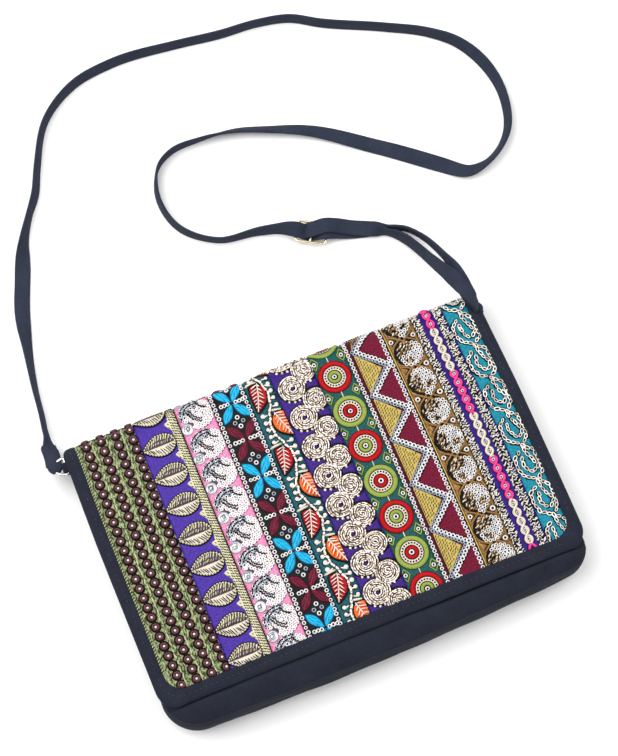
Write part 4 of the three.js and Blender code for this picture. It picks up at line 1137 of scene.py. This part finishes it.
class CLUTCH_OT_rosette_purple(bpy.types.Operator):
    """Lays the purple trim with its two columns of coiled cord rosettes"""

    bl_idname = "clutch.rosette_purple"
    bl_label = "Rosette trim"

    def execute(self, context):
        work = Trim(context, 5, "purple satin")
        # Columns: x at the flap's free edge and how far it leans to the right, first place and pitch, radius,
        # radius of the open middle, and the way the cord turns
        for x, lean, first, pitch, radius, start, hand in ((7.1, 1.3, 19, 18.92, 9.0, 1.3, 1),
                                                           (17.5, 1.8, 10, 18.62, 8.2, 0.5, -1)):
            places = repeats(first, pitch, work.end + 4, 0.088)
            spots = np.stack([x + lean * np.clip((places - 80) / 65, 0, 1), places], -1)
            turns = (radius - start) / 1.4
            angle = np.linspace(0, 2 * np.pi * turns, int(26 * turns))
            out = start + (radius - 0.6 - start) * angle / angle[-1]
            uneven = 0.16 * np.sin(2.3 * angle) + 0.1 * np.sin(5.1 * angle + 1)
            coil = lifted(polar(angle, out + uneven, hand * (out + uneven)),
                          0.95 - 0.4 * (out / radius) ** 2 + 0.12 * np.sin(3.7 * angle))
            # A black disc under each coil paints the shade in the gaps between the cord's turns and round its rim.
            work.add(turned([(start * 0.8, 0.25), (radius * 0.85, 0.3), (radius + 0.7, -0.1)], 26), "black floss",
                     spots)
            work.add(swept(coil, 0.48, 6), "cream gimp cord", spots, hand * 40)
            for share in (0.4, 0.68, 0.9):
                turn = np.radians(np.arange(0, 360, 24)) + share
                work.add(stitch(1.5, 0.26, 0.3), "brown floss", around(spots, polar(turn, radius * share)),
                         np.tile(np.degrees(turn) + 20, len(spots)), lift=1.25 - 0.4 * share, uneven=0.5)
            nubs = polar(np.radians([236, 258, 280]), radius - 0.4)
            work.add(turned([(0.02, 0.7), (0.55, 0.6), (0.85, 0)], 8), "cream gimp cord", around(spots, nubs),
                     uneven=0.15)
        return work.sewn("purple_satin")


class CLUTCH_OT_roundel_teal(bpy.types.Operator):
    """Lays the sea green trim with its red and lime roundels and small diamonds"""

    bl_idname = "clutch.roundel_teal"
    bl_label = "Roundel trim"

    def execute(self, context):
        work = Trim(context, 6, "sea green satin")
        middle, places = 35.5, repeats(10, 23.6, work.end + 10, 0.04)
        spots = column(middle, places)
        rim = turned([(7.2, 0), (7.4, 0.8), (8.4, 1.25), (9.6, 1.1), (10.2, 0.5), (10.3, -0.1)], 40)
        heart = turned([(2.1, 0.5), (2.4, 1.0), (3.1, 1.25), (3.9, 1.0), (4.1, 0.4)], 26)
        # A black ring round each roundel paints the shade at its edge.
        work.add(turned([(10.0, 0.2), (10.45, 0.3), (10.7, -0.1)], 40), "black floss", spots)
        for face, other, own in (("red floss", "lime floss", spots[::2]), ("lime floss", "red floss", spots[1::2])):
            work.add(rim, face, own)
            work.add(heart, other, own)
        work.add(turned([(2.0, 0.4), (4.3, 0.5), (4.6, 0.75), (6.9, 0.75), (7.4, 0.2)], 32), "cream floss", spots)
        # Black cords where the raised bands meet paint the shade between them.
        for radius in (4.3, 7.25):
            work.add(swept(oval_path(radius, radius, 0.75), 0.3, 5), "black floss", spots)
        dots = around(spots, polar(all_round(21), 5.8))
        work.add(turned([(0.02, 0.86), (0.58, 0.86), (0.66, 0.6)], 8), "black floss", dots)
        work.add(turned([(0.02, 0.5), (2.1, 0.5)], 16), "black floss", spots)
        work.sequins(spots, 1.6, lift=0.6)
        between = places + 11.85
        work.add(stitch(4.6, 0.4), "cream floss", column(middle, between), 90)
        diamond = lifted(closed(through([(2.7, 0), (0, 3.9), (-2.7, 0), (0, -3.9), (2.7, 0)], 5)), 0.4)
        for x in (26.5, 44.7):
            # A wider black cord under each lime diamond paints its shadow at both edges.
            work.add(swept(diamond, 0.62), "black floss", column(x, between), lift=-0.25)
            work.add(swept(diamond, 0.44), "lime floss", column(x, between))
            work.sequins(column(x, between), 1.35, lift=0.2)
        return work.sewn("sea_green_satin")


class CLUTCH_OT_triangle_sequin(bpy.types.Operator):
    """Lays the trim of gold and wine triangles parted by a zigzag of sequins"""

    bl_idname = "clutch.triangle_sequin"
    bl_label = "Triangle trim"

    def execute(self, context):
        work = Trim(context, 7, "wine velvet")
        # Half the gold triangles' length and width, and their middle
        half, reach, gold = 14.3, 6.6, 58.2
        left = repeats(11.5 - 30.3, 30.3, work.end + 30)
        right = left + 15.15
        work.add(raised([(-reach, -half), (reach, 0), (-reach, half)], 0.7, 0, 12), "gold floss", column(gold, right))
        for row in range(-8, 9):
            for step in range(8):
                a, b = -5.9 + 1.55 * step, 1.75 * row + 0.85 * (step % 2)
                if abs(b) < (6.2 - a) * half / (2 * reach) - 1.2:
                    work.add(stitch(1.7, 0.25), "black floss", column(gold + a, right + b), 58, lift=0.62,
                             uneven=0.12)
        corners = np.stack([np.tile([52.6, 69.4], len(left)), np.stack([left, right], -1).ravel()], -1)
        # A dark bed and two dark edges, then the grey and the silver row. Columns: place across, lift, radius
        for offset, lift, radius in ((0, -1.95, 2.6), (-3.1, 0.1, 0.45), (3.1, 0.1, 0.45)):
            work.add(swept(lifted(through(corners + (offset, 0), 8), lift), radius, 10), "black floss")
        for offset, radius, face, pitch in ((-1.5, 1.25, "smoke sequin", 2.1), (1.15, 1.45, "silver sequin", 2.5)):
            spots = spaced(corners + (offset, 0), pitch)[0]
            spots = spots[(spots[:, 1] > work.flap.binding - 1) & (spots[:, 1] < work.end + 1)]
            work.sequins(spots, radius, face, lift=0.6)
        rows = repeats(9, 2.9, work.end)
        work.sequins(column(48.4, rows), 1.38, lift=0.2)
        work.sequins(column(71.3, rows + 0.7), 1.38, lift=0.2)
        for x, radius, face in ((50.2, 0.8, "deep wine floss"), (73.1, 0.45, "black floss"),
                                (73.7, 0.4, "gold floss")):
            work.add(swept(lengthwise(x, work.end), radius), face, lift=0.2)
        return work.sewn("cream_ribbon")


class CLUTCH_OT_cluster_tan(bpy.types.Operator):
    """Lays the tan trim with its round sequin clusters on gold crossings"""

    bl_idname = "clutch.cluster_tan"
    bl_label = "Cluster trim"

    def execute(self, context):
        work = Trim(context, 8, "tan brocade")
        middle, places = 83.7, repeats(11, 19.55, work.end + 6, 0.055)
        spots, single = column(middle, places), places + 9.9
        for angle in (36, -36):
            for shift in (-1.8, 1.8):
                work.add(stitch(21, 0.7, 0.3), "tan floss", column(middle, single + shift), angle)
            for shift in (-3.1, 0, 3.1):
                work.add(stitch(20, 0.42, 0.3), "black floss", column(middle, single + shift), angle)
        # A black disc under each cluster paints the shade between and round its sequins.
        work.add(turned([(0.1, 0.6), (7.2, 0.6), (8.5, 0.45), (9.1, -0.1)], 26), "black floss", spots)
        spread = [(2.35 * (i + 0.5 * (j % 2)), 2.05 * j) for j in range(-4, 5) for i in range(-4, 5)]
        spread = np.array([spot for spot in spread if math.hypot(*spot) < 7.3])
        # Two sides of each cluster are hatched with thread, the rest is sequins
        a, b = spread.T
        hatched = ((a < -1) & (b < 4.5 - 0.4 * a) & (np.hypot(a, b) > 2)) | ((a > 2.2) & (b > -5) & (b < -0.8))
        rim = polar(np.radians(np.arange(-50, 110, 17)), 8.0)
        for own, angle in ((spots[::2], 0), (spots[1::2], -70)):
            spin = np.stack([towards(angle), towards(angle + 90)])
            work.sequins(around(own, np.concatenate([spread[~hatched], rim]) @ spin), 1.2, lift=0.55)
            hatch = around(own, spread[hatched] @ spin)
            work.add(stitch(1.9, 0.42, 0.3), "cream floss", hatch + (0, 0.5), 38, lift=0.6, uneven=0.45)
            work.add(stitch(2.3, 0.36, 0.3), "tan floss", hatch + (0.3, -0.5), 38, lift=0.5, uneven=0.45)
        work.add(stitch(7.6, 2.9, 0.1), "black floss", spots[::2] + (1.2, -8.2), 52, lift=-1.0)
        arm = [(1.0, -6.6), (-0.4, -8.4), (2.9, -7.9), (1.5, -9.7)]
        work.sequins(around(spots[::2], arm), 1.2, lift=1.5)
        work.sequins(column(91.0, single), 1.6, lift=0.4)
        work.sequins(column(76.4, single[1::2]), 1.5, lift=0.4)
        return work.sewn("tan_satin")


class CLUTCH_OT_diamond_purple(bpy.types.Operator):
    """Lays the deep purple trim with its diamond chain between two braids"""

    bl_idname = "clutch.diamond_purple"
    bl_label = "Diamond trim"

    def execute(self, context):
        work = Trim(context, 9, "deep purple satin")
        rows = repeats(8.5, 1.65, work.end)
        for x in (96.0, 110.8):
            work.strip(x - 2.6, x + 2.6, 0.35, "black floss")
            for side, angle in ((-1.5, 44), (0.2, -38), (1.7, 30)):
                work.add(stitch(2.1, 0.38, 0.4), "shell floss", column(x + side, rows + 0.4 * side), angle, lift=0.3,
                         uneven=0.34)
            work.add(turned([(0.02, 0.6), (0.5, 0.45), (0.6, 0)], 8), "straw floss",
                     column(x - 2.3, rows[::2] + 0.9), lift=0.3)
        middle, pitch = 103.7, 5.9
        for colour, spans in (("cream floss", ((12, 41.5), (70, 99.5), (129, 159))),
                              ("rose floss", ((6, 12), (41.5, 70), (99.5, 129), (159, work.end)))):
            for low, high in spans:
                s = np.linspace(low, high, max(int((high - low) / 0.6), 4))
                phase = np.pi * (s - 12) / pitch
                for hand in (1, -1):
                    path = np.stack([middle + 2.0 * hand * np.sin(phase), s, 0.7 + 0.35 * hand * np.cos(phase)], -1)
                    work.add(swept(path, 0.85, 8), colour)
                    # A wider black cord under each strand paints its shadow.
                    work.add(swept(path, 1.3, 6), "black floss", lift=-0.8)
        work.sequins(column(middle, repeats(14.95, pitch, work.end)), 1.2, lift=0.4)
        return work.sewn("deep_purple_satin")


class CLUTCH_OT_scroll_turquoise(bpy.types.Operator):
    """Lays the turquoise trim with its scrolls of pale chain stitch"""

    bl_idname = "clutch.scroll_turquoise"
    bl_label = "Scroll trim"

    # One scroll about its middle: the left and right sides of its oval, and the crook inside it
    lines = (((-3.6, 6.6), (-7.6, 3.3), (-8.5, -1.0), (-7.6, -6.5), (-4.6, -10.0), (-1.6, -11.4), (0.3, -12.0)),
             ((-0.5, 11.4), (0.8, 9.0), (3.3, 7.6), (4.8, 5.0), (5.2, 0.0), (5.2, -5.0), (4.4, -8.8), (0.3, -12.0)),
             ((-0.5, 11.4), (-0.5, 8.5), (0.1, 5.5), (0.7, 2.5), (2.4, -1.0), (3.0, -4.6), (0.8, -6.8), (-2.0, -6.4),
              (-3.7, -3.5), (-4.1, 0.0), (-3.7, 1.8)))

    def execute(self, context):
        work = Trim(context, 10, "turquoise satin")
        link = swept(oval_path(1.5, 0.84, 0, 14), 0.31, 6)
        shadow = swept(oval_path(1.5, 0.84, 0, 12), 1.0, 5)
        middles = column(123.9, repeats(13.1, 23.3, work.end + 12))
        for k, line in enumerate(self.lines):
            links, heading = spaced(smooth_curve(line, 8), 3.0)
            heading = heading + 9 * (-1.0) ** np.arange(len(heading))
            spots, turn = around(middles, links), np.tile(heading, len(middles))
            work.add(shadow, "black floss", spots, turn, lift=-0.35)
            work.add(link, "shell floss", spots, turn, lift=0.5 + 0.12 * k, uneven=0.28)
        return work.sewn("turquoise_satin")


# Rings, strap and slider

# The strap's route in millimetres. Columns: x and y of the band's middle, lift of its lower edge above the
# surface, and roll, the angle of its width to the surface in degrees: 0 lies flat, 90 stands on edge.
STRAP_ROUTE = (
    (-145.9, 90.0, 16.9, 0), (-144.8, 97.4, 12.4, 6), (-144.3, 103.6, 6.2, 38), (-143.8, 108.8, 3.0, 70),
    (-143.2, 117.0, 1.0, 80), (-142.0, 125.0, 0.4, 80), (-139.9, 143.2, 0, 78), (-135.4, 169.2, 0, 62),
    (-129.8, 195.0, 0, 16), (-122.0, 216.0, 0, 2), (-112.0, 239.0, 0, 65), (-104.0, 252.0, 0, 80),
    (-94.8, 265.2, 0, 74), (-88.0, 280.2, 0, 77), (-70.6, 309.9, 0, 83), (-45.2, 325.8, 0, 79),
    (-20.0, 329.9, 0, 78), (27.0, 326.2, 0, 83), (53.6, 322.5, 0, 83), (80.0, 320.6, 0, 86),
    (100.2, 316.0, 0, 84), (118.0, 305.4, 0, 82), (155.3, 287.2, 0, 81), (181.0, 272.8, 0, 77),
    (194.4, 261.2, 0, 69), (203.5, 246.4, 0, 62), (208.7, 215.0, 0, 68), (200.3, 190.0, 0, 68),
    (190.7, 181.2, 0, 68), (181.0, 176.6, 0, 60), (169.0, 175.8, 0, 28), (156.2, 185.0, 0, -4),
    (119.0, 214.7, 0, 0), (80.3, 241.2, 0, 31), (60.0, 249.5, 0, 49), (39.2, 256.8, 0, 60),
    (15.7, 259.7, 0, 80), (-5.6, 258.4, 0, 88), (-14.6, 253.2, 0, 86), (-22.3, 238.5, 0, 80),
    (-18.9, 210.2, 0, 84), (2.2, 191.9, 0, 92), (29.2, 187.4, 0.6, 78), (41.5, 183.0, 4.0, 62),
    (50.1, 178.8, 6.6, 24), (58.5, 174.8, 1.8, 0), (66.7, 171.2, 6.4, 0), (75.3, 169.2, 2.6, 4),
    (83.4, 166.8, 0.6, 6), (90.6, 164.8, 0, 10), (98.4, 162.0, 0, 52), (104.3, 159.4, 0, 86),
    (109.6, 157.6, 0, 92), (115.0, 154.5, 0.6, 94), (119.5, 149.2, 2.4, 94), (123.5, 142.2, 5.0, 92),
    (126.4, 133.4, 10.0, 90), (128.3, 123.2, 17.0, 86), (129.4, 113.8, 23.4, 66), (129.4, 104.0, 29.6, 28),
    (129.8, 97.4, 31.8, 2), (130.2, 93.4, 32.0, -6), (130.7, 90.2, 31.0, -20), (131.3, 87.4, 28.8, -40),
    (131.9, 84.6, 26.2, -56), (132.2, 82.4, 24.6, -62))
# The doubled end that comes back from the right ring to the slider
RETURN_ROUTE = (
    (132.6, 82.8, 26.6, 62), (132.1, 85.4, 28.8, 54), (131.2, 88.6, 31.8, 38), (130.1, 92.4, 34.2, 18),
    (128.1, 98.2, 34.6, 0), (125.9, 105.0, 32.0, -16), (123.6, 112.4, 24.6, -52), (120.8, 125.1, 12.0, -68),
    (117.1, 137.6, 4.6, -72), (112.6, 147.6, 1.2, -74), (108.3, 153.2, 0.4, -78), (103.6, 156.8, 0.3, -86),
    (98.2, 160.4, 1.2, -54), (90.6, 165.0, 2.3, -10), (82.4, 169.0, 3.6, 0), (75.2, 172.4, 5.8, 0),
    (67.6, 174.6, 8.6, 0), (61.6, 175.4, 7.2, 0), (57.6, 176.0, 6.5, 0), (54.8, 177.2, 3.8, 0))
# The sewn fold that holds the left ring, and its width and thickness
FOLD_ROUTE = ((-145.4, 84.6, 16.6, 0), (-145.4, 90.7, 15.6, 0), (-145.2, 97.4, 11.4, 4), (-145.2, 104.2, 5.8, 24))
FOLD_WIDTH, FOLD_THICKNESS = 9.6, 4.4


class StrapBand:
    """A folded and sewn band along a route: its middle line and its solid, in millimetres."""

    # Gap under the band, and how far a round end tapers
    gap, taper = 0.1, 0.96
    # Half of the band's section, as shares of half its width and half its thickness: round edges, sewn furrows
    over = [(-1.0, 0), (-0.97, 0.55), (-0.88, 0.95), (-0.74, 0.8), (-0.6, 1.0), (-0.25, 1.05), (0.25, 1.05),
            (0.6, 1.0), (0.74, 0.8), (0.88, 0.95), (0.97, 0.55), (1.0, 0)]

    def __init__(self, route, width, thick):
        self.width, self.thick = width, thick
        x, y, lift, roll = smooth_curve(route, 8).T
        roll = np.radians(roll)
        stands = (np.abs(np.sin(roll)) * width + np.abs(np.cos(roll)) * thick) / 2
        self.middle = np.stack([x, y, np.maximum(lift, 0) + self.gap + stands], -1)
        along = unit(np.gradient(self.middle, axis=0))
        level = unit(np.stack([-along[:, 1], along[:, 0], np.zeros(len(along))], -1))
        self.side = level * np.cos(roll)[:, None] + np.cross(along, level) * np.sin(roll)[:, None]
        self.up = np.cross(along, self.side)
        self.run = run_along(self.middle)

    def shape(self, round_start=False):
        """The band's solid. Its first end is cut square or round."""
        half = self.width / 2
        section = np.array(self.over + [(a, -b) for a, b in self.over[-2:0:-1]])[::-1] * (half, self.thick / 2)
        into = np.clip(self.run / half, 0, 1) if round_start else np.ones(len(self.run))
        narrow = np.sqrt(1 - (1 - into) ** 2 * self.taper)[:, None, None]
        points = (self.middle[:, None] + self.side[:, None] * section[:, :1] * narrow
                  + self.up[:, None] * section[:, 1:] * narrow ** 0.5)
        first, last = (np.broadcast_to(self.middle[[k], None], points[:1].shape) for k in (0, -1))
        points = np.concatenate([first, points, last])
        run = np.concatenate([[0], self.run, self.run[-1:]])
        return points.reshape(-1, 3), grid_faces(len(run), len(section), True), flat_grid(run, run_along(section))


# Columns: side of the bag, place of the bar, swing of the ring up from level in degrees, and place of the tab
RINGS = {"left": (-1, (-138.9, 87.0, 19.0), 0, 85.7), "right": (1, (134.6, 84.8, 18.4), 90, 84.8)}
RING_BAR_HALF = 5.2
# From the bag's middle to where the tabs are sewn in, their thickness and width, and their slack round the wire
TAB_ROOT = 132.35
TAB_WALL, TAB_WIDTH, TAB_SLACK = 1.5, 6.4, 0.3


class CLUTCH_OT_rings(bpy.types.Operator):
    """Makes the two end rings, the cloth tabs that hold them and the sewn loops of the strap's ends"""

    bl_idname = "clutch.rings"
    bl_label = "Rings and tabs"

    def execute(self, context):
        sizes = context.scene.clutch_sizes
        reach, wire = sizes.mm("ring_reach", "ring_wire")
        # A D ring lying level, its straight bar on the y axis
        arc = polar(np.linspace(-np.pi / 2, np.pi / 2, 40), reach, RING_BAR_HALF)
        ring_path = lifted(np.concatenate([arc, column(0, np.linspace(RING_BAR_HALF, -RING_BAR_HALF, 8))[1:]]), 0)
        for word, (side, bar, swing, tab_y) in RINGS.items():
            place = self.placed(side, bar, swing, sizes)
            ring = Layout()
            ring.add(swept(ring_path, wire, 12), "plated steel")
            ring.piece(f"d_ring_{word}", place, "ring_steel", [f"ring_{word}"])

            tab = Layout()
            root, loop = TAB_ROOT - abs(bar[0]), wire + TAB_SLACK + TAB_WALL / 2
            bend = polar(np.linspace(-np.pi / 2, np.pi / 2, 17), loop)
            tab.add(self.tab(np.concatenate([[(root, -loop * 0.6)], bend, [(root, loop * 0.6)]])), "polyester twill")
            tab_place = self.placed(side, (bar[0], tab_y, bar[2]), 0, sizes)
            tab.piece(f"ring_loop_cloth_{word}", tab_place, "bag_cloth", [f"ring_tab_{word}"])

            end = Layout()
            if side < 0:
                end.add(StrapBand(FOLD_ROUTE, FOLD_WIDTH, FOLD_THICKNESS).shape(True), "strap twill")
                place = self.placed(1, (0, 0, 0), 0, sizes)
            else:
                # The right end is sewn round a stretch of the ring's arc and is thickest in its middle
                angle = np.linspace(-0.7, 0.3, 25)
                girth = (wire + 1.3) * (1 - 0.45 * ((angle + 0.2) / 0.5) ** 2)
                end.add(swept(lifted(polar(angle, reach, RING_BAR_HALF), 0), girth, 16), "strap twill")
            end.piece(f"strap_end_{word}", place, "strap_webbing", [f"strap_loop_{word}"])
        return {"FINISHED"}

    @staticmethod
    def placed(side, bar, swing, sizes):
        """Swings level points up about the ring's bar and turns them to the bag's left or right end."""
        turn = Matrix.Rotation(math.pi if side < 0 else 0, 3, "Z") @ Matrix.Rotation(-math.radians(swing), 3, "Y")
        turn = np.array(turn)
        shift = np.array(bar) + np.array([sizes.bag_offset / MM, 0, 0])
        return lambda points: points @ turn.T + shift

    @staticmethod
    def tab(profile):
        """A strip of cloth bent along a profile in the x-z plane."""
        along = unit(np.gradient(profile, axis=0))
        out = np.stack([along[:, 1], -along[:, 0]], -1)
        section = np.array([(-0.5, -0.3), (-0.5, 0.3), (-0.42, 0.5), (0.42, 0.5), (0.5, 0.3), (0.5, -0.3),
                            (0.42, -0.5), (-0.42, -0.5)])
        bent = profile[:, None] + out[:, None] * (section[:, 1:] * TAB_WALL)
        y = np.broadcast_to(section[:, 0] * TAB_WIDTH, bent.shape[:2])
        points = np.stack([bent[..., 0], y, bent[..., 1]], -1).reshape(-1, 3)
        return points, grid_faces(len(profile), 8, True), flat_grid(run_along(profile), np.arange(8) * 1.2)


class CLUTCH_OT_strap(bpy.types.Operator):
    """Lays the strap along its route, with its doubled end and the slider that holds it"""

    bl_idname = "clutch.strap"
    bl_label = "Strap and slider"

    # The slider's corner radius, its middle, and its heading in degrees
    slider_corner = 2.5
    slider_middle = (58.8, 174.7, 5.2)
    slider_heading = -30

    def execute(self, context):
        sizes = context.scene.clutch_sizes
        shift = np.array([sizes.bag_offset / MM, 0, 0])
        bands = {}
        for name, route in (("strap", STRAP_ROUTE), ("strap_return", RETURN_ROUTE)):
            bands[name] = StrapBand(route, *sizes.mm("strap_width", "strap_thickness"))
            work = Layout()
            work.add(bands[name].shape(), "strap twill")
            work.piece(f"{name}_band", lambda p: p + shift, "strap_webbing", [name])

        slider_piece = self.slider(sizes, shift)
        return {"FINISHED"}

    def slider(self, sizes, shift):
        """The wire frame with its middle bar."""
        length, width, wire = sizes.mm("slider_length", "slider_width", "slider_wire")
        corner = self.slider_corner
        half_x, half_y = length / 2 - wire - corner, width / 2 - wire - corner
        loop = np.concatenate([(sign_x * half_x, sign_y * half_y)
                               + polar(np.radians(start + np.linspace(0, 90, 9)), corner)
                               for sign_x, sign_y, start in ((1, 1, 0), (-1, 1, 90), (-1, -1, 180), (1, -1, 270))])
        work = Layout()
        for path in (closed(loop), column(0, np.linspace(-half_y - corner, half_y + corner, 9))):
            work.add(swept(lifted(path, 0), wire, 12), "gold plated wire")
        turn = np.array(Matrix.Rotation(math.radians(self.slider_heading), 3, "Z"))
        middle = np.array(self.slider_middle) + shift
        return work.piece("slider_frame", lambda p: p @ turn.T + middle, "slider_metal", ["strap_slider"])


class CLUTCH_OT_stage(bpy.types.Operator):
    """Sets the pale floor, the soft studio light and the camera"""

    bl_idname = "clutch.stage"
    bl_label = "Stage"

    # The camera in the shared frame, in metres: its place, the way it looks and its up, and its focal length in
    # heights of the picture
    place = (-0.12215, -0.26973, 1.45662)
    look, up = Vector((0.09573, 0.23719, -0.96674)), Vector((0.36183, 0.89647, 0.25578))
    focal = 2400 / 756
    # Lamps. Columns: name, place in metres, width and power; and the place that they light
    lamps = (("key", (-0.8, 0.7, 1.7), 2.2, 48), ("fill", (1.1, -0.3, 1.6), 2.0, 22))
    lit = Vector((0, 0.08, 0))
    room_light = 0.46
    # Half the floor's width in metres, and its colour
    floor_half, floor_colour = 3, "f6f6f6"

    def execute(self, context):
        scene = context.scene
        mesh = bpy.data.meshes.new("floor")
        far = self.floor_half
        mesh.from_pydata([(-far, -far, 0), (far, -far, 0), (far, far, 0), (-far, far, 0)], [], [(0, 1, 2, 3)])
        floor = bpy.data.objects.new("floor", mesh)
        scene.collection.objects.link(floor)
        paper = bpy.data.materials.new("white paper")
        paper.use_nodes = True
        set_sockets(paper.node_tree.nodes["Principled BSDF"],
                    {"Base Color": shade(linear(self.floor_colour), 1), "Roughness": 0.9})
        mesh.materials.append(paper)

        world = bpy.data.worlds.new("studio")
        world.use_nodes = True
        set_sockets(world.node_tree.nodes["Background"], {"Color": (1, 1, 1, 1), "Strength": self.room_light})
        scene.world = world
        scene.view_settings.view_transform = "Standard"
        for name, place, size, power in self.lamps:
            lamp = bpy.data.lights.new(name, "AREA")
            lamp.shape = "DISK"
            lamp.size = size
            lamp.energy = power
            light = bpy.data.objects.new(name, lamp)
            light.location = place
            light.rotation_euler = (self.lit - Vector(place)).to_track_quat("-Z", "Y").to_euler()
            scene.collection.objects.link(light)

        lens = bpy.data.cameras.new("camera")
        lens.lens = self.focal * lens.sensor_width
        lens.clip_end = 20
        camera = bpy.data.objects.new("camera", lens)
        axes = Matrix((self.look.cross(self.up), self.up, -self.look)).transposed()
        shift = Vector((scene.clutch_sizes.bag_offset, 0, 0))
        camera.matrix_world = Matrix.Translation(Vector(self.place) + shift) @ axes.to_4x4()
        scene.collection.objects.link(camera)
        scene.camera = camera
        return {"FINISHED"}


class CLUTCH_PT_panel(bpy.types.Panel):
    """Lists the pieces of the bag and its sizes and colours"""

    bl_idname = "CLUTCH_PT_panel"
    bl_label = "Clutch bag"
    bl_space_type = "VIEW_3D"
    bl_region_type = "UI"
    bl_category = "Clutch bag"

    def draw(self, context):
        layout = self.layout
        for operator in OPERATORS:
            layout.operator(operator.bl_idname)
        for group in (context.scene.clutch_sizes, context.scene.clutch_colours):
            box = layout.box()
            for name in group.__annotations__:
                box.prop(group, name)


OPERATORS = (
    CLUTCH_OT_stage, CLUTCH_OT_rings, CLUTCH_OT_strap, CLUTCH_OT_pouch, CLUTCH_OT_flap, CLUTCH_OT_bead_brocade,
    CLUTCH_OT_leaf_violet, CLUTCH_OT_disc_pink, CLUTCH_OT_flower_black, CLUTCH_OT_vine_teal,
    CLUTCH_OT_rosette_purple, CLUTCH_OT_roundel_teal, CLUTCH_OT_triangle_sequin, CLUTCH_OT_cluster_tan,
    CLUTCH_OT_diamond_purple, CLUTCH_OT_scroll_turquoise)
CLASSES = (ClutchSizes, ClutchColours, *OPERATORS, CLUTCH_PT_panel)


def register():
    for cls in CLASSES:
        bpy.utils.register_class(cls)
    bpy.types.Scene.clutch_sizes = bpy.props.PointerProperty(type=ClutchSizes)
    bpy.types.Scene.clutch_colours = bpy.props.PointerProperty(type=ClutchColours)


def unregister():
    del bpy.types.Scene.clutch_colours
    del bpy.types.Scene.clutch_sizes
    for cls in reversed(CLASSES):
        bpy.utils.unregister_class(cls)


def main():
    """Builds the whole bag."""
    register()
    bpy.ops.clutch.stage()
    bpy.ops.clutch.rings()
    bpy.ops.clutch.strap()
    bpy.ops.clutch.pouch()
    bpy.ops.clutch.flap()
    bpy.ops.clutch.bead_brocade()
    bpy.ops.clutch.leaf_violet()
    bpy.ops.clutch.disc_pink()
    bpy.ops.clutch.flower_black()
    bpy.ops.clutch.vine_teal()
    bpy.ops.clutch.rosette_purple()
    bpy.ops.clutch.roundel_teal()
    bpy.ops.clutch.triangle_sequin()
    bpy.ops.clutch.cluster_tan()
    bpy.ops.clutch.diamond_purple()
    bpy.ops.clutch.scroll_turquoise()


if __name__ == "__main__":
    main()
